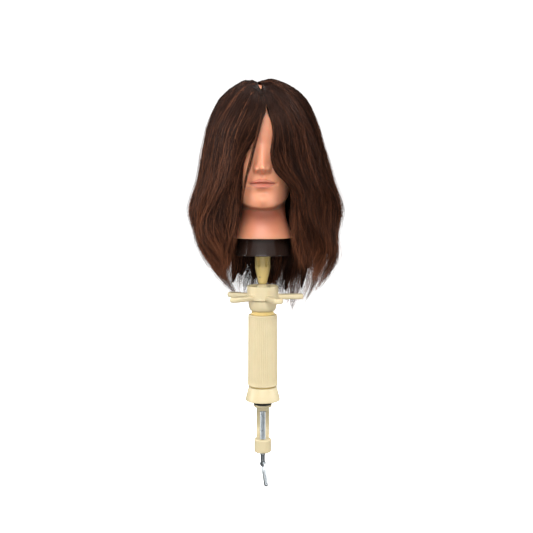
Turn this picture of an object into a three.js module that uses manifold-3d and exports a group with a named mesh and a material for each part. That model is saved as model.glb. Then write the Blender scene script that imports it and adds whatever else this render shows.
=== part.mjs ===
// Mannequin training head on a table-clamp holder, in millimetres, +Z up.
// The origin is the centre of the rubber pad that stands on the table. The face looks towards -Y.
import * as THREE from 'three';
import { mergeVertices } from 'three/addons/utils/BufferGeometryUtils.js';
import Module from 'manifold-3d';

const wasm = await Module();
wasm.setup();

// ---------------------------------------------------------------- driving dimensions

const GAP = 0.3; // clearance between pieces that touch
const RIM_Z = 1; // underside of the foot, just above the table

const JAW = { radius: 24, top: 15, padRadius: 22, padTop: 3 };
const FRAME = { width: 23, throat: 36, back: 48, bottom: -90.4, lowerTop: -72 }; // throat, back: in Y
const BENDS = { bend: 18, outerBend: 22, topBend: 6 }; // corner radii of the frame
const BOSS = { radius: 14.7, top: -67.7, bushRadius: 8.5 };
const FOOT = { bottomRadius: 29.6, topRadius: 24.2, top: 24.5, corner: 2.5 };
const POST = { radius: 16.7, lowerFlange: 22, upperFlange: 20 };
const GRIP = { bottom: 27.3, top: 149.2, bottomRadius: 25.7, topRadius: 24.7, reeds: 44, reedDepth: 0.9 };
const HOUSING = { bottom: 155.6, shoulder: 174.2, top: 187, radius: 24, threadRadius: 22.9 };
const BALL = { z: 188, radius: 14 };
const SHOE = { thickness: 2.3, reach: 50 }; // reach: degrees up from the ball's lowest point
const SEAT = { bottom: 166.8, radius: 19.4 };
const NUT = { bottom: 174.8, top: 198.6, radius: 26.7, recess: 24.8, lipBottom: 188.5, lipTop: 191 };
const ARM = { count: 5, reach: 70, tipRadius: 8.5, rootHalfWidth: 7, bottom: 175.2, top: 184, firstAngle: 6 };
const STEM = { bottom: 202.2, radius: 6.5, pinZ: 214, pinRadius: 1.2, pinAngle: -119 };
const STUD_RADIUS = 4.5; // of the ball's stud, up inside the peg
const PEG = { shoulder: 230, radius: 13.2, socketStart: 251, tipRadius: 10, top: 318, flutes: 6 };
const BOLT = { radius: 4, bore: 4.4, headBottom: 3.8, headTop: 9.2, top: 166 };

const PAD = { radius: 16, top: -4.5, thickness: 1.6, capBottom: -10.6, hubRadius: 8.5, hubBottom: -17 };
const SCREW = { radius: 4.9, tipZ: -12.2, tipRadius: 4.2, neckRadius: 3, endRadius: 3.8, endTop: -95.5 };
const HINGE = { z: -111.4, pinRadius: 1.4, forkSlot: 3.4, forkReach: 5.1, azimuth: 25 };
const LEVER = { radius: 3.6, length: 40, shoulder: 6.8, tongue: 2.8, lean: 22 };

const COLLAR = { bottom: 251.5, top: 280.3, lip: 46.3, bottomRadius: 45.6, topRadius: 42.1 };
const PLUG = { top: 305, radius: 38.5 }; // the collar's hidden upper end, inside the neck
const SKIN = { bottom: 281, wall: 4.5, crown: 534 };
const JAWLINE = { bottom: 331, top: 390, rise: 22 }; // rise: from the chin up to below the ear
const HAIR = { crown: 541, split: 455, scalpGap: 1.2 };

const RING_POINTS = 32; // points round each level of the head and hair

// Levels of the vinyl head: height, half width, reach to the front, reach to the back.
const HEAD_LEVELS = [
  [281, 51.6, 50.5, 50.5],
  [290, 47.5, 47, 47],
  [305, 43, 43.2, 44],
  [322, 39.5, 42, 46],
  [331, 42, 66, 48],
  [340, 45, 79, 53],
  [355, 48.5, 84, 60],
  [372, 53, 87, 68],
  [390, 58, 86, 78],
  [410, 64, 86, 84],
  [432, 68, 85, 88],
  [452, 71, 89, 90],
  [472, 71.5, 89, 90],
  [492, 68, 83, 87],
  [508, 60, 71, 79],
  [520, 48, 56, 66],
  [529, 32, 37, 46],
  [533, 14, 15, 22],
];

// Levels of the hair's outside: height, reach to the left, right, front and back.
const HAIR_LEVELS = [
  [120, 96, 96, 96, 98],
  [200, 98, 99, 98, 104],
  [227, 103, 120, 99, 110],
  [283, 114, 131, 100, 114],
  [318, 121, 133, 101, 115],
  [380, 110, 127, 104, 115],
  [422, 103, 114, 105, 114],
  [468, 92.5, 93, 104, 112],
  [512, 72, 76, 82, 95],
  [530, 45, 48, 50, 62],
  [540, 16, 17, 18, 24],
];

// Levels of the open space inside the hanging hair, given in the same way.
const HAIR_INSIDE = [
  [119, 80, 80, 80, 82],
  [200, 82, 83, 82, 88],
  [227, 87, 104, 84, 94],
  [283, 98, 115, 85, 98],
  [318, 105, 117, 88.5, 99],
  [352, 100, 114, 89.5, 99],
];

function material(color, roughness, metalness = 0) {
  return new THREE.MeshStandardMaterial({ color, roughness, metalness });
}

const VINYL = material('#e9b48f', 0.5);
const FOAM = material('#e8d9a8', 0.9);
const DARK_PLASTIC = material('#36221d', 0.2);
const HAIR_BROWN = material('#2b1812', 0.45);
const CREAM = material('#e6d5ae', 0.4);
const KHAKI = material('#d8c98a', 0.45);
const NYLON = material('#f0efe8', 0.5);
const RUBBER = material('#26262a', 0.8);
const STEEL = material('#b9c1c8', 0.3, 1);

// ---------------------------------------------------------------- solids

const radians = THREE.MathUtils.degToRad;

// A closed, outward-facing solid from a three.js geometry.
function toSolid(geometry) {
  const bare = geometry.clone();
  bare.deleteAttribute('normal');
  bare.deleteAttribute('uv');
  const merged = mergeVertices(bare, 1e-4);
  const position = merged.attributes.position;
  const corner = [new THREE.Vector3(), new THREE.Vector3(), new THREE.Vector3()];
  const triangles = [];
  let volume = 0;
  for (let i = 0; i < merged.index.count; i += 3) {
    const [a, b, c] = [0, 1, 2].map((k) => merged.index.getX(i + k));
    if (a === b || b === c || a === c) continue;
    triangles.push([a, b, c]);
    [a, b, c].forEach((v, k) => corner[k].fromBufferAttribute(position, v));
    volume += corner[0].dot(corner[1].clone().cross(corner[2]));
  }
  const facing = volume > 0 ? triangles : triangles.map(([a, b, c]) => [a, c, b]);
  return new wasm.Manifold(
    new wasm.Mesh({
      numProp: 3,
      vertProperties: new Float32Array(position.array),
      triVerts: new Uint32Array(facing.flat()),
    }),
  );
}

function toGeometry(solid) {
  const mesh = solid.getMesh();
  const geometry = new THREE.BufferGeometry();
  geometry.setAttribute('position', new THREE.BufferAttribute(new Float32Array(mesh.vertProperties), 3));
  geometry.setIndex(new THREE.BufferAttribute(new Uint32Array(mesh.triVerts), 1));
  geometry.computeVertexNormals();
  return geometry;
}

const join = (...solids) => solids.reduce((whole, next) => whole.add(next));
const cut = (solid, ...tools) => tools.reduce((left, tool) => left.subtract(tool), solid);

// Turns a profile of [radius, height] pairs about the Z axis.
function lathe(profile, segments = 28) {
  const points = profile.map(([r, z]) => new THREE.Vector2(r, z));
  return toSolid(new THREE.LatheGeometry(points, segments).rotateX(Math.PI / 2));
}

// Profile points on a circle about [0, height]; angles are degrees from straight up.
function arc(height, radius, from, to, steps) {
  return Array.from({ length: steps + 1 }, (_, i) => {
    const angle = radians(from + ((to - from) * i) / steps);
    return [Math.max(radius * Math.sin(angle), 0), height + radius * Math.cos(angle)];
  });
}

const cylinder = (radius, z0, z1, segments = 28) =>
  toSolid(
    new THREE.CylinderGeometry(radius, radius, z1 - z0, segments)
      .rotateX(Math.PI / 2)
      .translate(0, 0, (z0 + z1) / 2),
  );

const box = (x0, x1, y0, y1, z0, z1) =>
  toSolid(
    new THREE.BoxGeometry(x1 - x0, y1 - y0, z1 - z0).translate((x0 + x1) / 2, (y0 + y1) / 2, (z0 + z1) / 2),
  );

// A cylinder centred on [0, 0, z], lying along a horizontal direction.
const crossCylinder = (radius, length, z, azimuth, segments = 16) =>
  toSolid(
    new THREE.CylinderGeometry(radius, radius, length, segments)
      .rotateZ(Math.PI / 2)
      .rotateZ(radians(azimuth))
      .translate(0, 0, z),
  );

// Skins a stack of rings that share one point count, each ring running the same way round.
function loft(rings) {
  const count = rings[0].length;
  const positions = rings.flat().flatMap((p) => [p.x, p.y, p.z]);
  const index = [];
  for (let k = 0; k + 1 < rings.length; k++) {
    for (let i = 0; i < count; i++) {
      const a = k * count + i;
      const b = k * count + ((i + 1) % count);
      index.push(a, b, b + count, a, b + count, a + count);
    }
  }
  const last = (rings.length - 1) * count;
  for (let i = 1; i + 1 < count; i++) {
    index.push(0, i + 1, i);
    index.push(last, last + i, last + i + 1);
  }
  const geometry = new THREE.BufferGeometry();
  geometry.setAttribute('position', new THREE.Float32BufferAttribute(positions, 3));
  geometry.setIndex(index);
  return toSolid(geometry);
}

// Straight-line reading of a table of levels, by height.
function readLevels(levels, z) {
  const above = levels.findIndex((level) => level[0] >= z);
  if (above <= 0) return above === 0 ? levels[0] : levels[levels.length - 1];
  const [low, high] = [levels[above - 1], levels[above]];
  const t = (z - low[0]) / (high[0] - low[0]);
  return low.map((value, i) => value + (high[i] - value) * t);
}

// ---------------------------------------------------------------- head

// Angles round the head, 0 at the front, closer together over the face.
const ROUND = Array.from({ length: RING_POINTS }, (_, i) => {
  const t = (2 * Math.PI * i) / RING_POINTS;
  return t - 0.35 * Math.sin(t);
});

const NOSE = { tip: 394, base: 386, bridge: 440, reach: 19, halfWidth: 0.13 };
const LIPS = { z: 370, halfHeight: 7, reach: 3, halfWidth: 0.26 };

// How far the nose and lips stand out of the face at an angle and height.
function feature(angle, z) {
  const turn = Math.atan2(Math.sin(angle), Math.cos(angle));
  const slope = Math.min(1, (NOSE.bridge - z) / (NOSE.bridge - NOSE.tip));
  const nose = z < NOSE.base || z > NOSE.bridge ? 0 : slope;
  const lips = Math.max(0, 1 - Math.abs(z - LIPS.z) / LIPS.halfHeight);
  const across = (width) => Math.exp(-((turn / width) ** 2));
  return NOSE.reach * nose * across(NOSE.halfWidth) + LIPS.reach * lips * across(LIPS.halfWidth);
}

// How much higher a level runs at an angle than at the front, so that the jaw climbs towards the nape.
function jawRise(angle, z) {
  if (z < JAWLINE.bottom) return 0;
  const share = Math.max(0, (JAWLINE.top - z) / (JAWLINE.top - JAWLINE.bottom));
  return JAWLINE.rise * share * (1 - Math.cos(angle));
}

// One level of the head's outside, grown outwards by some clearance.
function headRing(z, grow = 0, height = z) {
  const [, side, front, back] = readLevels(HEAD_LEVELS, z);
  return ROUND.map((angle) => {
    const reach = (Math.cos(angle) > 0 ? front : back) + grow + feature(angle, z);
    const level = height + jawRise(angle, z);
    return new THREE.Vector3((side + grow) * Math.sin(angle), -reach * Math.cos(angle), level);
  });
}

const circleRing = (radius, z) =>
  ROUND.map((angle) => new THREE.Vector3(radius * Math.sin(angle), -radius * Math.cos(angle), z));

const FACE_HEIGHTS = [281, 290, 305, 322, 331, 340, 355, 364, 370, 377, 385.9, 386.1, 394, 410, 425, 440];
const SKULL_HEIGHTS = [455, 472, 492, 508, 520, 529, 533];
const HEAD_HEIGHTS = [...FACE_HEIGHTS, ...SKULL_HEIGHTS];
const CAVITY_HEIGHTS = [350, 380, 410, 440, 470, 495, 512, 522];

function headSkin() {
  const inner = [
    ...CAVITY_HEIGHTS.toReversed().map((z) => cavityRing(z, SKIN.wall)),
    circleRing(34, 322),
    circleRing(PLUG.radius + GAP, PLUG.top + 1),
    circleRing(COLLAR.topRadius + GAP, SKIN.bottom),
  ];
  const outer = HEAD_HEIGHTS.map((z) => headRing(z));
  return loft([...inner, ...outer]);
}

// One level of the hollow inside the vinyl, without the nose and lips.
function cavityRing(z, wall) {
  const [, side, front, back] = readLevels(HEAD_LEVELS, z);
  return ROUND.map((angle) => {
    const reach = (Math.cos(angle) > 0 ? front : back) - wall;
    const level = z + jawRise(angle, z);
    return new THREE.Vector3((side - wall) * Math.sin(angle), -reach * Math.cos(angle), level);
  });
}

// Light foam that lines the vinyl above the jaw, hollow in the middle and open towards the neck.
function foamCore() {
  const wall = SKIN.wall + 2.5;
  const thickness = 9;
  const heights = CAVITY_HEIGHTS.slice(0, -2);
  return loft([
    ...heights.toReversed().map((z) => cavityRing(z, wall + thickness)),
    ...heights.map((z) => cavityRing(z, wall)),
    cavityRing(510, wall),
  ]);
}

const pegRadius = (z) => {
  if (z <= PEG.socketStart) return PEG.radius;
  return PEG.radius + ((PEG.tipRadius - PEG.radius) * (z - PEG.socketStart)) / (PEG.top - PEG.socketStart);
};

// Dark plug in the neck: a tapered wall, a floor and a middle tube that fits the peg.
function neckSocket() {
  const wall = 3;
  const floor = COLLAR.bottom + 3.5;
  const tubeTop = PEG.top + 3;
  const bore = (z) => pegRadius(z) + GAP;
  return lathe(
    [
      [bore(COLLAR.bottom), COLLAR.bottom],
      [COLLAR.lip - 0.6, COLLAR.bottom],
      [COLLAR.lip, COLLAR.bottom + 0.6],
      [COLLAR.lip, COLLAR.bottom + 2],
      [COLLAR.bottomRadius, COLLAR.bottom + 2.6],
      [COLLAR.topRadius, COLLAR.top],
      [PLUG.radius, PLUG.top],
      [PLUG.radius - wall, PLUG.top],
      [COLLAR.topRadius - wall, COLLAR.top],
      [COLLAR.bottomRadius - wall, floor],
      [PEG.radius + wall + 2, floor],
      [PEG.tipRadius + wall + 1, tubeTop],
      [bore(PEG.top), tubeTop],
      [bore(COLLAR.bottom), COLLAR.bottom],
    ],
    36,
  );
}

// ---------------------------------------------------------------- hair

// One level of the hair's outside or of the space inside it.
function hairRing([z, left, right, front, back]) {
  return ROUND.map((angle) => {
    const across = Math.sin(angle) > 0 ? right : left;
    const along = Math.cos(angle) > 0 ? front : back;
    return new THREE.Vector3(across * Math.sin(angle), -along * Math.cos(angle), z);
  });
}

// The whole head of hair as one shell, before it is parted into locks.
function hairShell() {
  const outside = loft(HAIR_LEVELS.map(hairRing));
  const scalp = HEAD_HEIGHTS.filter((z) => z > JAWLINE.top).map((z) => headRing(z, HAIR.scalpGap));
  const crown = headRing(533, HAIR.scalpGap, SKIN.crown + HAIR.scalpGap);
  const inside = loft([...HAIR_INSIDE.map(hairRing), ...scalp, crown]);
  return cut(outside, inside);
}

// A wedge of space between two angles from the front, positive towards +X.
function wedge(from, to, z0, z1) {
  const reach = 260;
  const corner = (angle) => [reach * Math.sin(radians(angle)), -reach * Math.cos(radians(angle))];
  const shape = new THREE.Shape();
  shape.moveTo(0, 0);
  const steps = Math.max(1, Math.round(Math.abs(to - from) / 60));
  for (let i = 0; i <= steps; i++) shape.lineTo(...corner(from + ((to - from) * i) / steps));
  const options = { depth: z1 - z0, bevelEnabled: false };
  return toSolid(new THREE.ExtrudeGeometry(shape, options).translate(0, 0, z0));
}

// Each lock: its name, the angles it spans from the front, and how low it hangs on the left and right.
const LOCKS = [
  { name: 'hair_front', from: 14, to: 57.7, left: 212, right: 206 },
  { name: 'hair_side', from: 58.3, to: 117.7, left: 196, right: 172 },
  { name: 'hair_back', from: 118.3, to: 179.7, left: 150, right: 126 },
];

function hairNodes() {
  const shell = hairShell();
  const nodes = [];
  const face = box(-9, 13, -130, -50, HAIR.split - 1, 487);
  for (const [side, sign] of [['left', -1], ['right', 1]]) {
    const half = wedge(sign * 0.3, sign * 179.7, HAIR.split + GAP, HAIR.crown);
    nodes.push([`hair_top_${side}`, cut(shell.intersect(half), face)]);
    for (const lock of LOCKS) {
      const space = wedge(sign * lock.from, sign * lock.to, lock[side], HAIR.split);
      nodes.push([`${lock.name}_${side}`, shell.intersect(space)]);
    }
  }
  return nodes;
}

// ---------------------------------------------------------------- peg, ball and lock nut

function peg() {
  const body = lathe([
    [0, STEM.bottom],
    [STEM.radius, STEM.bottom],
    [STEM.radius + 0.8, STEM.bottom + 1.5],
    [PEG.radius - 0.4, PEG.shoulder - 2],
    [PEG.radius, PEG.shoulder],
    [PEG.radius, PEG.socketStart],
    [PEG.tipRadius, PEG.top - 2],
    [PEG.tipRadius - 1.5, PEG.top],
    [0, PEG.top],
  ]);
  const studBore = cylinder(STUD_RADIUS + GAP, STEM.bottom - 1, STEM.bottom + 20 + GAP, 24);
  const flutes = Array.from({ length: PEG.flutes }, (_, i) => {
    const slot = box(PEG.radius - 1.8, PEG.radius + 4, -1.2, 1.2, PEG.shoulder + 2, PEG.top - 12);
    return slot.rotate([0, 0, (360 * (i + 0.5)) / PEG.flutes + 90]);
  });
  return cut(body, studBore, pinHole(), ...flutes);
}

const pinHole = () => crossCylinder(STEM.pinRadius + GAP, 40, STEM.pinZ, STEM.pinAngle);
const pegPin = () => crossCylinder(STEM.pinRadius, 15, STEM.pinZ, STEM.pinAngle);

// Ball with the stud that goes up into the peg.
function ball() {
  const top = STEM.bottom - GAP;
  const flatAngle = THREE.MathUtils.radToDeg(Math.acos((top - BALL.z) / BALL.radius));
  const sphere = lathe([[0, top], ...arc(BALL.z, BALL.radius, flatAngle, 180, 12)]);
  const stud = cylinder(STUD_RADIUS, BALL.z, STEM.bottom + 20, 24);
  return cut(join(sphere, stud), pinHole());
}

// Thin cap under the ball.
function ballShoe() {
  const inner = BALL.radius + GAP;
  const outer = inner + SHOE.thickness;
  return lathe([
    ...arc(BALL.z, inner, 180, 180 - SHOE.reach, 4),
    ...arc(BALL.z, outer, 180 - SHOE.reach, 180, 4),
  ]);
}

function ballSeat() {
  const bowl = BALL.radius + 2 * GAP + SHOE.thickness;
  const top = HOUSING.top - 0.5;
  const rim = THREE.MathUtils.radToDeg(Math.acos((top - BALL.z) / bowl));
  return lathe([
    [0, SEAT.bottom],
    [SEAT.radius, SEAT.bottom],
    [SEAT.radius, top],
    ...arc(BALL.z, bowl, rim, 180, 6),
  ]);
}

function ballHousing() {
  const body = lathe(
    [
      [0, HOUSING.bottom],
      [19.4, HOUSING.bottom],
      [21.6, HOUSING.bottom + 2.6],
      [23.2, HOUSING.bottom + 6.5],
      [HOUSING.radius, HOUSING.bottom + 12],
      [HOUSING.radius, HOUSING.shoulder],
      [HOUSING.threadRadius, HOUSING.shoulder],
      [HOUSING.threadRadius, HOUSING.top],
      [0, HOUSING.top],
    ],
    36,
  );
  const seatBore = cylinder(SEAT.radius + GAP, SEAT.bottom - GAP, HOUSING.top + 1, 32);
  const nutPocket = cylinder(8.4, 159.5, 167, 24);
  const boltBore = cylinder(BOLT.bore, HOUSING.bottom - 1, 160, 24);
  return cut(body, seatBore, nutPocket, boltBore);
}

// Ring that the nut presses down onto the ball.
function pressureRing() {
  const inner = BALL.radius + GAP;
  const bottom = HOUSING.top + 0.3;
  const top = BALL.z + 5.8;
  const angleAt = (z) => THREE.MathUtils.radToDeg(Math.acos((z - BALL.z) / inner));
  const bore = arc(BALL.z, inner, angleAt(top), angleAt(bottom), 3);
  return lathe([
    ...bore,
    [22.6, bottom],
    [22.6, NUT.lipBottom - GAP],
    [19.2, NUT.lipBottom - GAP],
    [19.2, NUT.lipTop + 1],
    bore[0],
  ]);
}

// One arm of the star, pointing along +X, with rounded edges.
function starArm() {
  const bevel = 2;
  const centre = ARM.reach - ARM.tipRadius;
  const shape = new THREE.Shape();
  shape.moveTo(NUT.radius - 8, -ARM.rootHalfWidth + bevel);
  shape.lineTo(centre, -ARM.tipRadius + bevel);
  shape.absarc(centre, 0, ARM.tipRadius - bevel, -Math.PI / 2, Math.PI / 2, false);
  shape.lineTo(NUT.radius - 8, ARM.rootHalfWidth - bevel);
  shape.closePath();
  const depth = ARM.top - ARM.bottom - 2 * bevel;
  const options = { depth, curveSegments: 4, bevelSize: bevel, bevelThickness: bevel, bevelSegments: 1 };
  return toSolid(new THREE.ExtrudeGeometry(shape, options).translate(0, 0, ARM.bottom + bevel));
}

function lockNut() {
  const body = lathe(
    [
      [0, NUT.bottom],
      [NUT.radius, NUT.bottom],
      [NUT.radius + 0.8, NUT.bottom + 0.8],
      [NUT.radius + 0.8, NUT.bottom + 2],
      [NUT.radius, NUT.bottom + 3],
      [NUT.radius, NUT.top - 0.6],
      [NUT.radius - 0.6, NUT.top],
      [0, NUT.top],
    ],
    36,
  );
  const arms = Array.from({ length: ARM.count }, (_, i) =>
    starArm().rotate([0, 0, ARM.firstAngle + (360 * i) / ARM.count]),
  );
  const thread = cylinder(HOUSING.threadRadius + GAP, NUT.bottom - 1, NUT.lipBottom, 36);
  const lip = cylinder(19.5, NUT.lipBottom - 1, NUT.lipTop + 1, 32);
  const recess = cylinder(NUT.recess, NUT.lipTop, NUT.top + 1, 36);
  return cut(join(body, ...arms), thread, lip, recess);
}

// ---------------------------------------------------------------- post, grip and foot

const postCore = () =>
  cut(
    lathe([
      [0, FOOT.top + GAP],
      [POST.lowerFlange, FOOT.top + GAP],
      [POST.lowerFlange, GRIP.bottom - GAP],
      [POST.radius, GRIP.bottom - GAP],
      [POST.radius, GRIP.top + GAP],
      [POST.upperFlange, GRIP.top + GAP],
      [POST.upperFlange - 1, GRIP.top + 3.2],
      [POST.upperFlange - 1, HOUSING.bottom - GAP],
      [0, HOUSING.bottom - GAP],
    ]),
    cylinder(BOLT.bore, FOOT.top, HOUSING.bottom, 24),
  );

// Grip with fine upright reeds between two plain collars.
function gripSleeve() {
  const pointsPerReed = 2;
  const count = GRIP.reeds * pointsPerReed;
  const radiusAt = (z) => {
    const t = (z - GRIP.bottom) / (GRIP.top - GRIP.bottom);
    return GRIP.bottomRadius + (GRIP.topRadius - GRIP.bottomRadius) * t;
  };
  const ring = (z, depth, shrink = 0) =>
    Array.from({ length: count }, (_, i) => {
      const angle = (2 * Math.PI * i) / count;
      const radius = radiusAt(z) - shrink - (i % pointsPerReed === 0 ? depth : 0);
      return new THREE.Vector3(radius * Math.cos(angle), radius * Math.sin(angle), z);
    });
  const outside = loft([
    ring(GRIP.bottom, 0, 0.8),
    ring(GRIP.bottom + 0.8, 0),
    ring(GRIP.bottom + 2.4, GRIP.reedDepth),
    ring(GRIP.top - 3.2, GRIP.reedDepth),
    ring(GRIP.top - 2.6, 0),
    ring(GRIP.top, 0, 0.4),
  ]);
  return cut(outside, cylinder(POST.radius + GAP, GRIP.bottom - 1, GRIP.top + 1));
}

// Flared foot: a cover over the upper jaw, notched at the back for the clamp frame.
function footSkirt() {
  const body = lathe(
    [
      [0, RIM_Z],
      [FOOT.bottomRadius - FOOT.corner, RIM_Z],
      [FOOT.bottomRadius - 0.7, RIM_Z + 0.8],
      [FOOT.bottomRadius, RIM_Z + FOOT.corner],
      [FOOT.topRadius, FOOT.top - 0.6],
      [FOOT.topRadius - 0.6, FOOT.top],
      [0, FOOT.top],
    ],
    36,
  );
  const cavity = cylinder(JAW.radius + GAP, RIM_Z - 1, JAW.top + GAP, 36);
  const notchHalf = FRAME.width / 2 + GAP;
  const notch = box(-notchHalf, notchHalf, 10, 40, RIM_Z - 1, JAW.top + GAP);
  return cut(body, cavity, notch, cylinder(BOLT.bore, JAW.top, FOOT.top + 1, 24));
}

// ---------------------------------------------------------------- clamp

// Side outline of the C-shaped frame, in Y and Z.
function frameOutline() {
  const { throat, back, bottom, lowerTop } = FRAME;
  const { bend, outerBend, topBend } = BENDS;
  const shape = new THREE.Shape();
  shape.moveTo(2, bottom);
  shape.lineTo(back - outerBend, bottom);
  shape.absarc(back - outerBend, bottom + outerBend, outerBend, -Math.PI / 2, 0, false);
  shape.lineTo(back, JAW.top - topBend);
  shape.absarc(back - topBend, JAW.top - topBend, topBend, 0, Math.PI / 2, false);
  shape.lineTo(12, JAW.top);
  shape.lineTo(12, RIM_Z);
  shape.lineTo(throat - topBend, RIM_Z);
  shape.absarc(throat - topBend, RIM_Z - topBend, topBend, Math.PI / 2, 0, true);
  shape.lineTo(throat, lowerTop + bend);
  shape.absarc(throat - bend, lowerTop + bend, bend, 0, -Math.PI / 2, true);
  shape.lineTo(2, lowerTop);
  shape.closePath();
  return shape;
}

function clampFrame() {
  const yzx = new THREE.Matrix4().makeBasis(
    new THREE.Vector3(0, 1, 0),
    new THREE.Vector3(0, 0, 1),
    new THREE.Vector3(1, 0, 0),
  );
  const options = { depth: FRAME.width, curveSegments: 5, bevelEnabled: false };
  const bar = toSolid(
    new THREE.ExtrudeGeometry(frameOutline(), options).translate(0, 0, -FRAME.width / 2).applyMatrix4(yzx),
  );
  const jaw = cylinder(JAW.radius, RIM_Z, JAW.top, 36);
  const boss = lathe(
    [
      [0, FRAME.bottom],
      [BOSS.radius - 1.5, FRAME.bottom],
      [BOSS.radius, FRAME.bottom + 1.5],
      [BOSS.radius, BOSS.top - 0.6],
      [BOSS.radius - 0.6, BOSS.top],
      [0, BOSS.top],
    ],
    32,
  );
  return cut(
    join(bar, jaw, boss),
    cylinder(JAW.padRadius + GAP, RIM_Z - 1, JAW.padTop + GAP, 32),
    cylinder(7.9, JAW.padTop, BOLT.headTop + GAP, 24),
    cylinder(BOLT.bore, JAW.padTop, JAW.top + 1, 24),
    cylinder(BOSS.bushRadius + GAP, FRAME.bottom - 1, -70, 32),
    cylinder(SCREW.radius + 2 * GAP, FRAME.bottom, BOSS.top + 1, 24),
  );
}

const screwBush = () =>
  cut(
    cylinder(BOSS.bushRadius, FRAME.bottom + GAP, -70.3, 32),
    cylinder(SCREW.radius + GAP, FRAME.bottom, -70, 24),
  );

const footPad = () => cylinder(JAW.padRadius, 0, JAW.padTop, 32);

const hexagon = (acrossFlats, z0, z1) => cylinder(acrossFlats / Math.sqrt(3), z0, z1, 6);

const tieBolt = () =>
  join(hexagon(13, BOLT.headBottom, BOLT.headTop), cylinder(BOLT.radius, BOLT.headTop - 1, BOLT.top, 24));

const tieNut = () => cut(hexagon(13, 159.8, 165.6), cylinder(BOLT.radius + GAP, 159, 167, 24));

// Pale cap of the pressure pad, with the socket that holds the screw's round tip.
function pressurePad() {
  const top = PAD.top - PAD.thickness - GAP;
  const body = lathe([
    [0, top],
    [PAD.radius - 0.5, top],
    [PAD.radius - 0.5, PAD.capBottom + 0.8],
    [PAD.radius - 1.3, PAD.capBottom],
    [PAD.hubRadius + 1, PAD.capBottom],
    [PAD.hubRadius, PAD.capBottom - 1],
    [PAD.hubRadius, PAD.hubBottom],
    [0, PAD.hubBottom],
  ]);
  const socket = lathe(arc(SCREW.tipZ, SCREW.tipRadius + GAP, 0, 180, 8), 20);
  return cut(body, socket, cylinder(SCREW.neckRadius + 0.6, PAD.hubBottom - 1, SCREW.tipZ, 24));
}

const padFacing = () => cylinder(PAD.radius, PAD.top - PAD.thickness, PAD.top, 32);

// Screw rod: round tip, threaded length, and a forked lower end.
function clampScrew() {
  const end = HINGE.z - HINGE.forkReach;
  const neckAngle = THREE.MathUtils.radToDeg(Math.asin(SCREW.neckRadius / SCREW.tipRadius));
  const rod = lathe(
    [
      ...arc(SCREW.tipZ, SCREW.tipRadius, 0, 180 - neckAngle, 6),
      [SCREW.neckRadius, PAD.hubBottom - 0.5],
      [SCREW.radius - 0.8, PAD.hubBottom - 0.5],
      [SCREW.radius, PAD.hubBottom - 1.3],
      [SCREW.radius, SCREW.endTop],
      [SCREW.endRadius, SCREW.endTop - 1],
      [SCREW.endRadius, end + 0.8],
      [SCREW.endRadius - 0.8, end],
      [0, end],
    ],
    24,
  );
  const slotHalf = HINGE.forkSlot / 2;
  const slot = box(-slotHalf, slotHalf, -8, 8, end - 1, HINGE.z + 6.4).rotate([0, 0, HINGE.azimuth]);
  return cut(rod, slot, crossCylinder(HINGE.pinRadius + GAP, 20, HINGE.z, HINGE.azimuth));
}

// Cross pin with a round head at each end.
function hingePin() {
  const headStart = SCREW.endRadius + GAP;
  const pin = new THREE.CylinderGeometry(HINGE.pinRadius, HINGE.pinRadius, 2 * headStart + 0.4, 16);
  const heads = [-1, 1].map((side) =>
    toSolid(new THREE.CylinderGeometry(2.2, 2.2, 1.2, 16).translate(0, side * (headStart + 0.6), 0)),
  );
  return join(toSolid(pin), ...heads)
    .rotate([0, 0, 90])
    .rotate([0, 0, HINGE.azimuth])
    .translate([0, 0, HINGE.z]);
}

// Round lever with a flat tongue, hanging from the pin and leaning away from straight down.
function foldLever() {
  const { radius, length, shoulder, tongue, lean } = LEVER;
  const bar = lathe(
    [
      [0, -shoulder],
      [radius - 0.6, -shoulder],
      [radius, -shoulder - 0.6],
      [radius, -length + radius],
      ...arc(-length + radius, radius, 110, 180, 4),
    ],
    24,
  );
  const tab = box(-tongue / 2, tongue / 2, -radius, radius, -shoulder - 1, 0);
  const eye = crossCylinder(radius, tongue, 0, 0, 24);
  return cut(join(bar, tab, eye), crossCylinder(HINGE.pinRadius + GAP, 20, 0, 0))
    .rotate([-lean, 0, 0])
    .rotate([0, 0, HINGE.azimuth])
    .translate([0, 0, HINGE.z]);
}

// ---------------------------------------------------------------- assembly

const group = new THREE.Group();

function place(name, solid, finish) {
  const mesh = new THREE.Mesh(toGeometry(solid), finish);
  mesh.name = name;
  group.add(mesh);
}

place('foot_pad', footPad(), RUBBER);
place('clamp_frame', clampFrame(), CREAM);
place('screw_bush', screwBush(), STEEL);
place('foot_skirt', footSkirt(), CREAM);
place('tie_bolt', tieBolt(), STEEL);
place('tie_nut', tieNut(), STEEL);
place('post_core', postCore(), KHAKI);
place('grip_sleeve', gripSleeve(), CREAM);
place('ball_housing', ballHousing(), CREAM);

place('ball_seat', ballSeat(), NYLON);
place('ball_shoe', ballShoe(), NYLON);
place('ball', ball(), CREAM);
place('peg', peg(), KHAKI);
place('peg_pin', pegPin(), STEEL);
place('pressure_ring', pressureRing(), NYLON);
place('lock_nut', lockNut(), CREAM);

place('pad_facing', padFacing(), RUBBER);
place('pressure_pad', pressurePad(), CREAM);
place('clamp_screw', clampScrew(), STEEL);
place('hinge_pin', hingePin(), STEEL);
place('fold_lever', foldLever(), STEEL);

place('neck_socket', neckSocket(), DARK_PLASTIC);
place('head_skin', headSkin(), VINYL);
place('foam_core', foamCore(), FOAM);
for (const [name, solid] of hairNodes()) place(name, solid, HAIR_BROWN);

export default group;
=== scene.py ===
import math

import bmesh
import bpy
import numpy as np
from mathutils import Matrix, Vector


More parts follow.
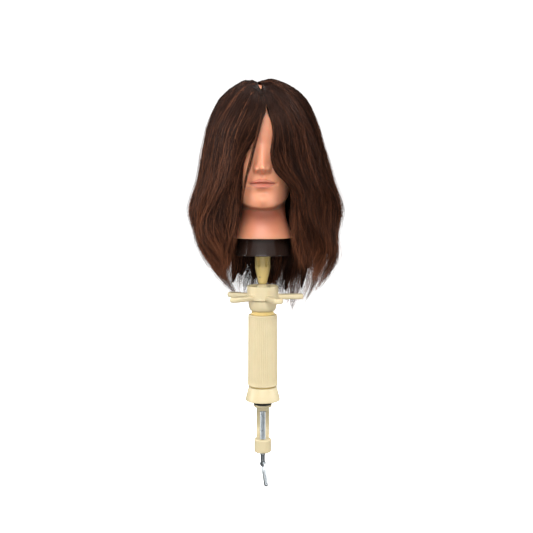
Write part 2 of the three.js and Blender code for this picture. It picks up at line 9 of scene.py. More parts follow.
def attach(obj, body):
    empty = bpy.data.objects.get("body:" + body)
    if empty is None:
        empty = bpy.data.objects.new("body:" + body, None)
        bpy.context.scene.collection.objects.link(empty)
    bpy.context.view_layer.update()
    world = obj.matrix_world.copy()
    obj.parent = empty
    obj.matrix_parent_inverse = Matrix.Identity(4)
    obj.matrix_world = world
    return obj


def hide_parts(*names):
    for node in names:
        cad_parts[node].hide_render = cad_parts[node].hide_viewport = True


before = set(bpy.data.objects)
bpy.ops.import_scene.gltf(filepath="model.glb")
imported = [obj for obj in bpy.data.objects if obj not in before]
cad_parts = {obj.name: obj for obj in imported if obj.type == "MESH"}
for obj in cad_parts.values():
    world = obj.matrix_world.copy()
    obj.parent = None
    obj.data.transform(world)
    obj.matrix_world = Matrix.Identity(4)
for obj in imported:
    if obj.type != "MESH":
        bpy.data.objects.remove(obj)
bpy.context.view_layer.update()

MM = 0.001
TAU = 2 * math.pi
rng = np.random.default_rng(655)

# ---------------------------------------------------------------- camera, stage and light

# Metres, degrees down from level, and the lens and sensor in millimetres.
CAMERA = dict(distance=1.334, height=0.355, aside=0.0065, pitch=5.3, lens=53.358, sensor=36)
FLOOR_Z = -0.165


def add_camera():
    data = bpy.data.cameras.new("camera")
    data.sensor_width = CAMERA["sensor"]
    data.lens = CAMERA["lens"]
    camera = bpy.data.objects.new("camera", data)
    camera.location = (CAMERA["aside"], -CAMERA["distance"], CAMERA["height"])
    camera.rotation_euler = (math.radians(90 - CAMERA["pitch"]), 0, 0)
    bpy.context.collection.objects.link(camera)
    bpy.context.scene.camera = camera


def add_softbox(name, place, aim, size, power):
    """A white area light: place, aim and size in metres, power in watts."""
    data = bpy.data.lights.new(name, "AREA")
    data.shape = "RECTANGLE"
    data.size, data.size_y = size
    data.energy = power
    light = bpy.data.objects.new(name, data)
    light.location = place
    light.rotation_euler = (Vector(aim) - Vector(place)).to_track_quat("-Z", "Y").to_euler()
    bpy.context.collection.objects.link(light)


def add_lights():
    centre = (0, 0, 0.3)
    add_softbox("key", (-0.2, -1.9, 1.6), centre, (1.6, 0.9), 46)
    add_softbox("front", (0, -2.6, 0.1), centre, (2.4, 0.4), 4)
    add_softbox("bounce", (0, -1.0, -0.12), (0, 0, 0.25), (1.4, 0.4), 4.5)
    add_softbox("side_left", (-1.8, -0.3, 0.7), centre, (0.6, 1.5), 22)
    add_softbox("side_right", (1.8, -0.3, 0.7), centre, (0.6, 1.5), 22)
    add_softbox("top", (0, -0.3, 2.4), centre, (1.6, 1.2), 20)
    add_softbox("back_left", (-1.3, 1.9, 1.0), centre, (0.9, 1.6), 24)
    add_softbox("back_right", (1.3, 1.9, 1.0), centre, (0.9, 1.6), 24)


def add_world():
    """White all round to the eye; as a light it is soft from above and dim from below."""
    world = bpy.data.worlds.new("studio")
    bpy.context.scene.world = world
    world.use_nodes = True
    nodes, links = world.node_tree.nodes, world.node_tree.links
    nodes.clear()
    upward = nodes.new("ShaderNodeSeparateXYZ")
    links.new(nodes.new("ShaderNodeTexCoord").outputs["Generated"], upward.inputs["Vector"])
    level = nodes.new("ShaderNodeMapRange")
    level.inputs["From Min"].default_value = -0.35
    level.inputs["From Max"].default_value = 0.5
    level.inputs["To Min"].default_value = 0.13
    level.inputs["To Max"].default_value = 0.45
    links.new(upward.outputs["Z"], level.inputs["Value"])
    around = nodes.new("ShaderNodeBackground")
    around.inputs["Color"].default_value = (1, 1, 1, 1)
    links.new(level.outputs["Result"], around.inputs["Strength"])
    seen = nodes.new("ShaderNodeBackground")
    seen.inputs["Color"].default_value = (1, 1, 1, 1)
    seen.inputs["Strength"].default_value = 1.05
    path = nodes.new("ShaderNodeLightPath")
    mix = nodes.new("ShaderNodeMixShader")
    out = nodes.new("ShaderNodeOutputWorld")
    links.new(path.outputs["Is Camera Ray"], mix.inputs["Fac"])
    links.new(around.outputs[0], mix.inputs[1])
    links.new(seen.outputs[0], mix.inputs[2])
    links.new(mix.outputs[0], out.inputs["Surface"])


def add_floor():
    """Pale floor below the lever. Glossy and diffuse rays miss it, so that it casts no light upwards."""
    bpy.ops.mesh.primitive_plane_add(size=40, location=(0, 0, FLOOR_Z))
    floor = bpy.context.object
    floor.name = "floor"
    shader = Shader("floor_white", 0.9)
    shader.colour(shader.ramp(shader.noise(3, 3), (0.0, (0.93, 0.93, 0.93)), (1.0, (0.97, 0.97, 0.97))))
    shader.bsdf.inputs["Emission Color"].default_value = (1, 1, 1, 1)
    shader.bsdf.inputs["Emission Strength"].default_value = 0.80
    floor.data.materials.append(shader.material)
    floor.visible_diffuse = False
    floor.visible_glossy = False


# ---------------------------------------------------------------- materials


class Shader:
    """A Principled material with short calls for the nodes that these materials share."""

    def __init__(self, name, roughness, metallic=0.0, **inputs):
        self.material = bpy.data.materials.new(name)
        self.material.use_nodes = True
        self.tree = self.material.node_tree
        self.bsdf = self.tree.nodes["Principled BSDF"]
        self.bsdf.inputs["Roughness"].default_value = roughness
        self.bsdf.inputs["Metallic"].default_value = metallic
        for key, value in inputs.items():
            self.bsdf.inputs[key.replace("_", " ")].default_value = value

    def add(self, kind, **settings):
        node = self.tree.nodes.new(kind)
        for key, value in settings.items():
            setattr(node, key, value)
        return node

    def link(self, source, target):
        self.tree.links.new(source, target)

    def position(self):
        return self.add("ShaderNodeTexCoord").outputs["Object"]

    def noise(self, scale, detail=3.0, stretch=(1, 1, 1)):
        mapping = self.add("ShaderNodeMapping")
        mapping.inputs["Scale"].default_value = stretch
        self.link(self.position(), mapping.inputs["Vector"])
        noise = self.add("ShaderNodeTexNoise")
        noise.inputs["Scale"].default_value = scale
        noise.inputs["Detail"].default_value = detail
        self.link(mapping.outputs["Vector"], noise.inputs["Vector"])
        return noise.outputs["Fac"]

    def ramp(self, factor, *stops):
        ramp = self.add("ShaderNodeValToRGB")
        elements = ramp.color_ramp.elements
        while len(elements) < len(stops):
            elements.new(0.5)
        for element, (place, colour) in zip(elements, stops):
            element.position = place
            element.color = (*colour, 1)
        self.link(factor, ramp.inputs["Fac"])
        return ramp.outputs["Color"]

    def mix(self, factor, a, b):
        node = self.add("ShaderNodeMix", data_type="RGBA")
        for key, value in {"Factor": factor, "A": a, "B": b}.items():
            socket = node.inputs[key]
            if isinstance(value, tuple):
                socket.default_value = (*value, 1)
            elif isinstance(value, float):
                socket.default_value = value
            else:
                self.link(value, socket)
        return node.outputs["Result"]

    def attribute(self, name):
        return self.add("ShaderNodeAttribute", attribute_name=name).outputs["Fac"]

    def span(self, factor, low, high):
        node = self.add("ShaderNodeMapRange")
        self.link(factor, node.inputs["Value"])
        node.inputs["To Min"].default_value = low
        node.inputs["To Max"].default_value = high
        return node.outputs["Result"]

    def colour(self, socket):
        self.link(socket, self.bsdf.inputs["Base Color"])

    def rough(self, factor, low, high):
        self.link(self.span(factor, low, high), self.bsdf.inputs["Roughness"])

    def bump(self, factor, strength, distance):
        node = self.add("ShaderNodeBump")
        node.inputs["Strength"].default_value = strength
        node.inputs["Distance"].default_value = distance
        self.link(factor, node.inputs["Height"])
        self.link(node.outputs["Normal"], self.bsdf.inputs["Normal"])


def moulded_plastic(name, light, dark, roughness, grain=900):
    """Injection-moulded plastic: a faint cloudy tone, a fine spark-eroded grain and uneven gloss."""
    shader = Shader(name, roughness, Subsurface_Weight=0.04, Subsurface_Scale=0.003)
    shader.colour(shader.ramp(shader.noise(38, 5), (0.3, dark), (0.7, light)))
    shader.rough(shader.noise(60, 4), roughness - 0.06, roughness + 0.08)
    shader.bump(shader.noise(grain, 2), 0.16, 0.0003)
    return shader.material


def vinyl_skin():
    """Soft vinyl: mottled peach, painted lips, brows and lashes, a blush on the cheeks, and a painted shade
    of deeper red on the neck under the jaw.
    """
    shader = Shader("vinyl_skin", 0.42, Subsurface_Weight=0.45, Subsurface_Scale=0.009)
    shader.bsdf.inputs["Subsurface Radius"].default_value = (1.0, 0.30, 0.14)
    dark, light = (0.71, 0.292, 0.168), (0.77, 0.332, 0.193)
    # The deeper red here colours the cheeks' blush and also the painted shade on the neck under the jaw.
    blush_and_shade, lip, lash = (0.68, 0.17, 0.10), (0.55, 0.195, 0.13), (0.05, 0.022, 0.014)
    skin = shader.ramp(shader.noise(26, 6), (0.25, dark), (0.75, light))
    blushed_and_shaded = shader.mix(shader.attribute("blush_and_shade"), skin, blush_and_shade)
    painted = shader.mix(shader.attribute("lips"), blushed_and_shaded, lip)
    shader.colour(shader.mix(shader.attribute("brow"), painted, lash))
    shader.rough(shader.noise(45, 4), 0.38, 0.52)
    shader.bump(shader.noise(750, 3), 0.14, 0.0004)
    return shader.material


def hair_fibre():
    """Dark brown hair: each strand has its own tone, with a painted sheen near the roots and a painted glow
    of light through the ends, and a warm silky gloss.
    """
    shader = Shader("hair", 0.34, Specular_IOR_Level=0.38)
    shader.bsdf.inputs["Specular Tint"].default_value = (0.80, 0.46, 0.36, 1)
    dark = (0.0050, 0.0018, 0.0011)
    middle = (0.0190, 0.0065, 0.0037)
    # light is the colour of the painted glow of light through the hair, at the strands' ends and in the
    # paler layers.
    light = (0.330, 0.120, 0.058)
    shader.colour(shader.ramp(shader.attribute("tone_and_light"), (0.0, dark), (0.57, middle), (1.0, light)))
    shader.rough(shader.noise(220, 3), 0.28, 0.46)
    return shader.material


def hair_underlayer():
    """The mass of hair under the top strands: fine dark streaks that run with it."""
    shader = Shader("hair_under", 0.7, Specular_IOR_Level=0.2)
    streaks = shader.noise(300, 5, (1, 1, 0.04))
    dark, light = (0.0080, 0.0032, 0.0020), (0.0300, 0.0120, 0.0070)
    shader.colour(shader.ramp(streaks, (0.35, dark), (0.7, light)))
    shader.bump(streaks, 0.5, 0.0008)
    return shader.material


def dark_gloss():
    """Polished dark brown plastic, faintly cloudy."""
    shader = Shader("dark_socket", 0.2, Coat_Weight=0.25, Coat_Roughness=0.08)
    dark, light = (0.020, 0.010, 0.0075), (0.028, 0.014, 0.010)
    shader.colour(shader.ramp(shader.noise(30, 4), (0.3, dark), (0.7, light)))
    shader.rough(shader.noise(70, 5), 0.14, 0.26)
    shader.bump(shader.noise(420, 3), 0.05, 0.0003)
    return shader.material


def black_rubber():
    """Matte black rubber with a fine grain."""
    shader = Shader("black_rubber", 0.8)
    dark, light = (0.018, 0.018, 0.019), (0.035, 0.035, 0.037)
    shader.colour(shader.ramp(shader.noise(90, 5), (0.3, dark), (0.7, light)))
    shader.rough(shader.noise(120, 4), 0.7, 0.9)
    shader.bump(shader.noise(900, 3), 0.4, 0.0004)
    return shader.material


def plated_steel():
    """Bright zinc plate with fine drawn lines round the bar."""
    shader = Shader("steel", 0.28, 1.0)
    lines = shader.noise(160, 4, (1, 1, 14))
    dark, light = (0.34, 0.375, 0.40), (0.46, 0.485, 0.50)
    shader.colour(shader.ramp(lines, (0.3, dark), (0.7, light)))
    shader.rough(shader.noise(90, 5), 0.2, 0.42)
    shader.bump(lines, 0.1, 0.0002)
    return shader.material


def foam_material():
    """Pale rigid foam with visible cells."""
    shader = Shader("foam", 0.95)
    cells = shader.noise(700, 4)
    dark, light = (0.62, 0.54, 0.33), (0.80, 0.73, 0.50)
    shader.colour(shader.ramp(cells, (0.3, dark), (0.7, light)))
    shader.bump(cells, 0.7, 0.001)
    return shader.material


# ---------------------------------------------------------------- mesh tools

CORNER_ANGLE = math.radians(38)  # edges sharper than this stay crisp


def make_piece(name, verts, faces, material, body, replaced=(), smooth=True):
    """A mesh piece in millimetres that rides on a body and stands for the CAD nodes in replaced."""
    mesh = bpy.data.meshes.new(name)
    mesh.from_pydata([tuple(MM * c for c in v) for v in verts], [], [tuple(f) for f in faces])
    mesh.validate()
    obj = bpy.data.objects.new(name, mesh)
    bpy.context.collection.objects.link(obj)
    bm = bmesh.new()
    bm.from_mesh(mesh)
    bmesh.ops.remove_doubles(bm, verts=bm.verts, dist=1e-6)
    bmesh.ops.dissolve_degenerate(bm, edges=bm.edges, dist=1e-7)
    bmesh.ops.recalc_face_normals(bm, faces=bm.faces)
    bm.to_mesh(mesh)
    bm.free()
    if smooth:
        mesh.shade_smooth()
        obj.modifiers.new("corners", "EDGE_SPLIT").split_angle = CORNER_ANGLE
    finish_piece(obj, material, body, replaced)
    return obj


def finish_piece(obj, material, body, replaced=()):
    obj.data.materials.clear()
    obj.data.materials.append(material)
    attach(obj, body)
    if replaced:
        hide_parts(*replaced)


def fillet(points, steps=4):
    """Rounds the corners of a profile whose points are (radius, height) or (radius, height, corner)."""
    out = []
    for i, point in enumerate(points):
        here = Vector(point[:2])
        size = point[2] if len(point) > 2 else 0
        if not size or i in (0, len(points) - 1):
            out.append(tuple(here))
            continue
        before = Vector(points[i - 1][:2]) - here
        after = Vector(points[i + 1][:2]) - here
        reach = min(size, 0.49 * before.length, 0.49 * after.length)
        start = here + before.normalized() * reach
        end = here + after.normalized() * reach
        for k in range(steps + 1):
            t = k / steps
            out.append(tuple(start.lerp(here, t).lerp(here.lerp(end, t), t)))
    return out


def turned(profile, segments=72, shape=None):
    """Turns a profile about Z. shape(angles, radius, height) may change the radii of a ring."""
    angles = np.arange(segments) * TAU / segments
    rings = []
    for radius, height in profile:
        radii = np.full(segments, max(radius, 0.0))
        if shape is not None and radius > 1e-6:
            radii = shape(angles, radius, height)
        level = np.full(segments, height)
        rings.append(np.column_stack([radii * np.cos(angles), radii * np.sin(angles), level]))
    verts = np.concatenate(rings)
    faces = []
    for k in range(len(profile) - 1):
        for i in range(segments):
            j = (i + 1) % segments
            low, high = k * segments, (k + 1) * segments
            faces.append((low + i, low + j, high + j, high + i))
    return verts, faces


def closed_ring(profile):
    """A profile that ends where it starts, for a piece with a bore."""
    return [*profile, profile[0]]


def turned_piece(name, profile, material, body, replaced=(), segments=72, shape=None):
    verts, faces = turned(profile, segments, shape)
    return make_piece(name, verts, faces, material, body, replaced)


def arc_points(height, radius, start, end, steps):
    """Profile points on a circle about (0, height); angles in degrees from straight up."""
    angles = np.radians(np.linspace(start, end, steps))
    return [(max(radius * math.sin(a), 0.0), height + radius * math.cos(a)) for a in angles]


def moved(verts, matrix):
    return [tuple(matrix @ Vector(v)) for v in verts]


def merged(*parts):
    verts, faces = [], []
    for part_verts, part_faces in parts:
        start = len(verts)
        verts.extend(tuple(v) for v in part_verts)
        faces.extend(tuple(start + i for i in face) for face in part_faces)
    return verts, faces


def moulding(name, parts, voxel, rounds, material, body, replaced):
    """One smooth moulding from overlapping closed parts, with soft fillets where they meet."""
    verts, faces = merged(*parts)
    obj = make_piece(name, verts, faces, material, body, replaced, smooth=False)
    remesh = obj.modifiers.new("remesh", "REMESH")
    remesh.mode = "VOXEL"
    remesh.voxel_size = voxel * MM
    smooth = obj.modifiers.new("smooth", "SMOOTH")
    smooth.factor = 0.5
    smooth.iterations = rounds
    depsgraph = bpy.context.evaluated_depsgraph_get()
    mesh = bpy.data.meshes.new_from_object(obj.evaluated_get(depsgraph))
    obj.modifiers.clear()
    obj.data = mesh
    mesh.shade_smooth()
    return obj


def prism(outline, depth):
    """Extrudes a closed outline of (x, y) points from z = 0 to depth."""
    count = len(outline)
    verts = [(x, y, 0) for x, y in outline] + [(x, y, depth) for x, y in outline]
    sides = [(i, (i + 1) % count, count + (i + 1) % count, count + i) for i in range(count)]
    return verts, [tuple(range(count))[::-1], tuple(range(count, 2 * count)), *sides]


def arc_xy(cx, cy, radius, start, end, steps=8):
    """Points on a circle about (cx, cy); angles in degrees from +X."""
    angles = np.radians(np.linspace(start, end, steps))
    return [(cx + radius * math.cos(a), cy + radius * math.sin(a)) for a in angles]


# ---------------------------------------------------------------- holder

# All in millimetres, with angles in degrees. A height is named after what is there.
BOLT_BORE = 4.4
FOOT = dict(bottom=1.0, roof=15.3, top=24.5, rim=29.6, top_radius=24.2, bore=24.3, notch=11.8)
GRIP = dict(bottom=27.3, top=149.2, bottom_radius=25.7, top_radius=24.7, reeds=44, depth=0.9)
NUT = dict(bottom=174.8, top=198.6, radius=26.7, recess=24.8, lip_bottom=188.5, lip_top=191.0)
ARM = dict(count=5, reach=70.0, tip=8.5, root=7.0, bottom=175.2, top=184.0, first=6.0)
PEG = dict(bottom=202.2, shoulder=230.0, radius=13.2, socket=251.0, tip=10.0, top=318.0)
FLUTE = dict(count=6, half_width=2.4, depth=2.3)
PEG_PIN = dict(z=214.0, azimuth=-119.0, radius=1.2, half=7.5, hole=1.5)
FRAME_BAR = dict(width=23.0, throat=36.0, back=48.0, bottom=-90.4, lower_top=-72.0, top=15.0)
FRAME_BEND = dict(outer=22.0, inner=18.0, upper=6.0)
BOSS = dict(radius=14.7, top=-67.7, bush=8.8)
BALL_Z = 188.0
BALL_RADIUS = 14.0
SCREW = dict(radius=4.9, tip=-12.2, thread_top=-19.2, thread_bottom=-94.3, pitch=1.5, depth=0.85, end=-116.5)
HINGE = dict(z=-111.4, azimuth=25.0, pin=1.4, fork=3.4)
LEVER = dict(radius=3.6, length=40.0, shoulder=6.8, half_tongue=1.4, lean=22.0)


def add_grip():
    """Grip sleeve: a slight taper with fine reeds all round."""

    def reeds(angles, radius, height):
        inside = GRIP["bottom"] + 2.0 < height < GRIP["top"] - 2.8
        if not inside or radius < 20:
            return np.full(len(angles), radius)
        wave = np.abs(np.cos(angles * GRIP["reeds"] / 2))
        return radius - GRIP["depth"] * (1 - wave**0.55)

    low, high = GRIP["bottom"], GRIP["top"]
    slope = (GRIP["top_radius"] - GRIP["bottom_radius"]) / (high - low)

    def radius_at(z):
        return GRIP["bottom_radius"] + slope * (z - low)

    heights = [low + 1.9, low + 2.6, *np.linspace(low + 10, high - 10, 8), high - 3.4, high - 2.7]
    outer = [(radius_at(low) - 1.0, low), (radius_at(low) - 0.2, low + 0.4), (radius_at(low), low + 1.0)]
    outer += [(radius_at(z), z) for z in heights]
    outer += [(radius_at(high), high - 0.6), (radius_at(high) - 0.5, high)]
    profile = closed_ring([(17.0, low), *outer, (17.0, high)])
    turned_piece("grip", profile, CREAM, "holder", ["grip_sleeve"], GRIP["reeds"] * 10, reeds)


def add_foot():
    """Flared foot, open below, with a notch at the back for the frame."""
    bottom, roof, top = FOOT["bottom"], FOOT["roof"], FOOT["top"]
    inside = [(FOOT["bore"], roof), (FOOT["bore"], bottom)]
    flare = [(FOOT["rim"], bottom, 2.2), (FOOT["rim"], bottom + 2.5, 1.5), (FOOT["top_radius"], top, 0.8)]
    profile = fillet([*inside, *flare, (BOLT_BORE, top), (BOLT_BORE, roof)])
    foot = turned_piece("foot", closed_ring(profile), CREAM, "holder", ["foot_skirt"], 96)
    half = FOOT["notch"] * MM
    cut_box(foot, (-half, 10 * MM, -5 * MM), (half, 40 * MM, roof * MM))


def cut_box(obj, low, high):
    """Cuts a box out of a piece."""
    bpy.ops.mesh.primitive_cube_add(size=1, location=[(a + b) / 2 for a, b in zip(low, high)])
    bpy.context.object.scale = [b - a for a, b in zip(low, high)]
    cut_away(obj, bpy.context.object)


def cut_away(obj, tool):
    """Cuts the tool's shape out of a piece and removes the tool."""
    bpy.context.view_layer.update()
    if "corners" in obj.modifiers:
        obj.modifiers.remove(obj.modifiers["corners"])
    notch = obj.modifiers.new("notch", "BOOLEAN")
    notch.operation = "DIFFERENCE"
    notch.object = tool
    notch.solver = "EXACT"
    depsgraph = bpy.context.evaluated_depsgraph_get()
    mesh = bpy.data.meshes.new_from_object(obj.evaluated_get(depsgraph))
    obj.modifiers.clear()
    obj.data = mesh
    obj.modifiers.new("corners", "EDGE_SPLIT").split_angle = CORNER_ANGLE
    bpy.data.objects.remove(tool)


def add_post():
    """Core post, with a flange below the grip and one above it."""
    profile = fillet([
        (BOLT_BORE, 24.8), (22, 24.8, 0.5), (22, 27.0, 0.5), (16.7, 27.0), (16.7, 149.5),
        (20, 149.5, 0.5), (20, 151.5, 0.6), (18.8, 152.6), (18.8, 155.3), (BOLT_BORE, 155.3),
    ])
    turned_piece("post", closed_ring(profile), KHAKI, "holder", ["post_core"])


def add_housing():
    """Cup for the ball's seat, with the bolt's recess in its floor."""
    profile = fillet([
        (BOLT_BORE, 155.6), (19.4, 155.6, 1.5), (21.8, 158.0, 3), (23.4, 162.5, 4), (24.0, 168.0, 3),
        (24.0, 174.2, 0.5), (22.9, 174.2), (22.9, 187.0, 0.6), (19.7, 187.0, 0.4), (19.7, 166.5),
        (8.4, 166.5), (8.4, 159.5), (BOLT_BORE, 159.5),
    ])
    turned_piece("housing", closed_ring(profile), CREAM, "holder", ["ball_housing"], 96)


def add_clamp():
    """C-shaped frame with the boss at its lower end."""
    width, throat, back, bottom, lower, top = FRAME_BAR.values()
    outer, inner, upper = FRAME_BEND.values()
    outline = [(9, bottom + 0.8)]
    outline += arc_xy(back - outer, bottom + outer, outer - 0.8, -90, 0)
    outline += arc_xy(back - upper, top - upper - 0.8, upper, 0, 90)
    outline += [(23.5, top - 0.8), (23.5, 1.0)]
    outline += arc_xy(throat - upper, 1 - upper, upper, 90, 0)
    outline += arc_xy(throat - inner, lower + inner, inner, 0, -90)
    outline += [(9, lower)]
    verts, faces = prism(outline, width)
    upright = Matrix(((0, 0, 1, -width / 2), (1, 0, 0, 0), (0, 1, 0, 0), (0, 0, 0, 1)))
    radius, boss_top, bush = BOSS.values()
    outside = [(bush, bottom), (radius, bottom, 2.2), (radius, boss_top, 1.4)]
    boss = fillet([*outside, (5.5, boss_top, 0.6), (5.5, -70), (bush, -70)])
    jaw = [(22.3, 1.0), (24, 1.0), (24, top), (BOLT_BORE, top)]
    jaw += [(BOLT_BORE, 9.5), (7.9, 9.5), (7.9, 3.3), (22.3, 3.3)]
    parts = [(moved(verts, upright), faces), turned(closed_ring(boss), 64), turned(closed_ring(jaw), 64)]
    moulding("clamp_body", parts, 0.6, 6, CREAM, "holder", ["clamp_frame"])


def add_small_holder_pieces():
    """The rubber pad under the upper jaw, and the steel bush in the boss."""
    pad = fillet([(0, 0), (22, 0, 0.5), (22, 3.0, 0.4), (0, 3.0)])
    turned_piece("foot_rubber", pad, RUBBER, "holder", ["foot_pad"])
    bush = fillet([(5.2, -90.1), (8.5, -90.1, 0.5), (8.5, -70.3), (5.2, -70.3)])
    turned_piece("bush", closed_ring(bush), STEEL, "holder", ["screw_bush"], 48)


def add_nut():
    """Star nut: a ring with five rounded arms in one moulding."""
    body = fillet([
        (23.2, NUT["bottom"]), (27.3, NUT["bottom"], 0.8), (27.3, 177.4, 1.0),
        (NUT["radius"], 178.6, 1.0), (NUT["radius"], NUT["top"], 0.7),
        (NUT["recess"], NUT["top"], 0.5), (NUT["recess"], NUT["lip_top"], 0.5),
        (19.5, NUT["lip_top"], 0.4), (19.5, NUT["lip_bottom"]), (23.2, NUT["lip_bottom"]),
    ])
    parts = [turned(closed_ring(body), 96)]
    for i in range(ARM["count"]):
        turn = Matrix.Rotation(math.radians(ARM["first"] + 360 * i / ARM["count"]), 4, "Z")
        verts, faces = arm_solid()
        parts.append((moved(verts, turn), faces))
    moulding("star_nut", parts, 0.55, 5, CREAM, "nut", ["lock_nut"])


def arm_solid():
    """One arm along +X: a paddle that widens to a round end, with rounded edges above and below."""
    layers = []
    middle = (ARM["bottom"] + ARM["top"]) / 2
    half = (ARM["top"] - ARM["bottom"]) / 2
    for k in range(9):
        angle = math.pi * (k / 8 - 0.5)
        inset = 2.6 * (1 - math.cos(angle) ** 0.6 if abs(angle) < 1.57 else 1)
        height = middle + half * math.sin(angle)
        tip = ARM["tip"] - inset
        root = ARM["root"] - inset
        centre = ARM["reach"] - ARM["tip"]
        outline = [(25.4, -root), *arc_xy(centre, 0, tip, -90, 90, 13), (25.4, root)]
        layers.append([(x, y, height) for x, y in outline])
    count = len(layers[0])
    verts = [v for layer in layers for v in layer]
    faces = [tuple(range(count))[::-1], tuple(range(8 * count, 9 * count))]
    for k in range(8):
        for i in range(count):
            j = (i + 1) % count
            faces.append((k * count + i, k * count + j, (k + 1) * count + j, (k + 1) * count + i))
    return verts, faces


def add_ball():
    """The ball, flat on top where the peg's stem stands."""
    top = PEG["bottom"] - 0.3
    edge = math.degrees(math.acos((top - BALL_Z) / BALL_RADIUS))
    ball = [(0, top), *arc_points(BALL_Z, BALL_RADIUS, edge, 180, 40)]
    turned_piece("ball_end", ball, CREAM, "peg", ["ball"], 72)


def add_peg():
    """Taper peg with six flutes on a narrow stem, and the pin through the stem."""
    bottom, shoulder, radius, socket, tip, top = PEG.values()

    def flutes(angles, radius, height):
        ends = min(height - (shoulder + 1.5), top - 12 - height)
        if ends <= 0:
            return np.full(len(angles), radius)
        window = min(1.0, ends / 2.5)
        turn = (angles * FLUTE["count"] / TAU) % 1.0
        across = np.minimum(turn, 1 - turn) * TAU / FLUTE["count"] * radius
        slot = np.clip((FLUTE["half_width"] - across) / 0.5, 0, 1)
        return radius - FLUTE["depth"] * window * slot

    def taper(z):
        return radius - max(0.0, z - socket) * (radius - tip) / (top - socket)

    stem = [(0, bottom), (6.5, bottom, 0.5), (7.3, bottom + 1.8, 1.2)]
    profile = fillet([*stem, (12.6, 226.5, 5), (radius, shoulder, 2), (radius, shoulder + 0.6)])
    heights = [231.2, 231.9, 232.6, 233.4, 234.5, *np.linspace(238, 305, 14), 306, 307]
    profile += [(taper(z), z) for z in heights]
    profile += fillet([(taper(307), 307), (tip, top - 2, 1), (8.5, top, 0.8), (0, top)])[1:]
    peg = turned_piece("taper_peg", profile, KHAKI, "peg", ["peg"], 192, flutes)

    azimuth = math.radians(PEG_PIN["azimuth"])
    turn = Matrix.Rotation(azimuth, 4, "Z") @ Matrix.Rotation(math.radians(90), 4, "Y")
    bpy.ops.mesh.primitive_cylinder_add(vertices=24, radius=PEG_PIN["hole"] * MM, depth=30 * MM)
    bpy.context.object.matrix_world = Matrix.Translation((0, 0, PEG_PIN["z"] * MM)) @ turn
    cut_away(peg, bpy.context.object)
    half, thick = PEG_PIN["half"], PEG_PIN["radius"]
    pin = fillet([(0, -half), (thick, -half, 0.3), (thick, half, 0.3), (0, half)])
    verts, faces = turned(pin, 20)
    place = Matrix.Translation((0, 0, PEG_PIN["z"])) @ turn
    make_piece("roll_pin", moved(verts, place), faces, STEEL, "peg", ["peg_pin"])


def add_ring():
    """Pressure ring: its bore follows the ball, its flange lies under the nut's lip."""
    inner = BALL_RADIUS + 0.3
    low, high = 187.3, BALL_Z + 5.8
    start, end = (math.degrees(math.acos((z - BALL_Z) / inner)) for z in (high, low))
    bore = arc_points(BALL_Z, inner, start, end, 7)
    flange = [(22.6, low, 0.2), (22.6, 188.2, 0.2), (19.2, 188.2)]
    rest = fillet([(inner, low), *flange, (19.2, 192, 0.6), bore[0]])
    turned_piece("slip_ring", closed_ring([*bore, *rest[1:-1]]), NYLON, "ring", ["pressure_ring"])


def add_pad():
    """Pressure pad: a cap that turns on the screw's round tip, faced with rubber."""
    facing = fillet([(0, -6.1), (16, -6.1, 0.3), (16, -4.5, 0.5), (0, -4.5)])
    turned_piece("pad_face", facing, RUBBER, "pad", ["pad_facing"])
    cap = fillet([
        (0, -6.4), (15.5, -6.4, 0.4), (15.5, -10.6, 1.0), (9.3, -10.6, 1.0), (8.5, -12, 0.6),
        (8.5, -17, 0.6), (3.6, -17, 0.3), (3.6, -15.1),
    ])
    socket = arc_points(SCREW["tip"], 4.5, 128, 0, 10)
    turned_piece("pad_cap", [*cap, *socket[1:]], CREAM, "pad", ["pressure_pad"])


def add_screw():
    """Screw rod: a round tip in the pad, the thread, and a plain end forked for the lever."""
    radius, tip, thread_top, thread_bottom, pitch, depth, end = SCREW.values()

    def thread(angles, radius, height):
        if not (thread_bottom < height < thread_top):
            return np.full(len(angles), radius)
        phase = (height / pitch - angles / TAU) % 1.0
        fade = min(1.0, (height - thread_bottom) / 1.5, (thread_top - height) / 1.5)
        return radius - depth * fade * np.abs(2 * phase - 1) ** 1.2

    rows = np.arange(thread_bottom, thread_top + 0.2, pitch / 7)[::-1]
    profile = [*arc_points(tip, 4.2, 0, 134, 10), (3.0, -17.5), (4.1, -17.5), (radius, -18.3)]
    profile += [(radius, z) for z in rows]
    profile += fillet([(radius, -94.5), (radius, -95.5, 0.4), (3.8, -96.5, 0.4), (3.8, end, 0.9), (0, end)])
    screw = turned_piece("screw_rod", profile, STEEL, "screw", ["clamp_screw"], 36, thread)
    cut_slot(screw)


def cut_slot(screw):
    """Forks the screw's lower end for the lever's tongue."""
    bpy.ops.mesh.primitive_cube_add(size=1, location=(0, 0, (HINGE["z"] - 0.9) * MM))
    tool = bpy.context.object
    tool.scale = (HINGE["fork"] * MM, 16 * MM, 14.6 * MM)
    tool.rotation_euler = (0, 0, math.radians(HINGE["azimuth"]))
    cut_away(screw, tool)


def at_hinge():
    """Places a piece at the lever's pin, with its Z still upright."""
    turn = Matrix.Rotation(math.radians(HINGE["azimuth"]), 4, "Z")
    return Matrix.Translation((0, 0, HINGE["z"])) @ turn


def add_hinge_pin():
    """Cross pin with a flat head at both ends."""
    head = 4.1
    pin = fillet([(0, -head - 1.2), (2.2, -head - 1.2, 0.6), (2.2, -head, 0.2), (HINGE["pin"], -head)])
    pin += [(r, -z) for r, z in reversed(pin)]
    verts, faces = turned(pin, 28)
    across = at_hinge() @ Matrix.Rotation(math.radians(90), 4, "Y")
    make_piece("cross_pin", moved(verts, across), faces, STEEL, "screw", ["hinge_pin"])


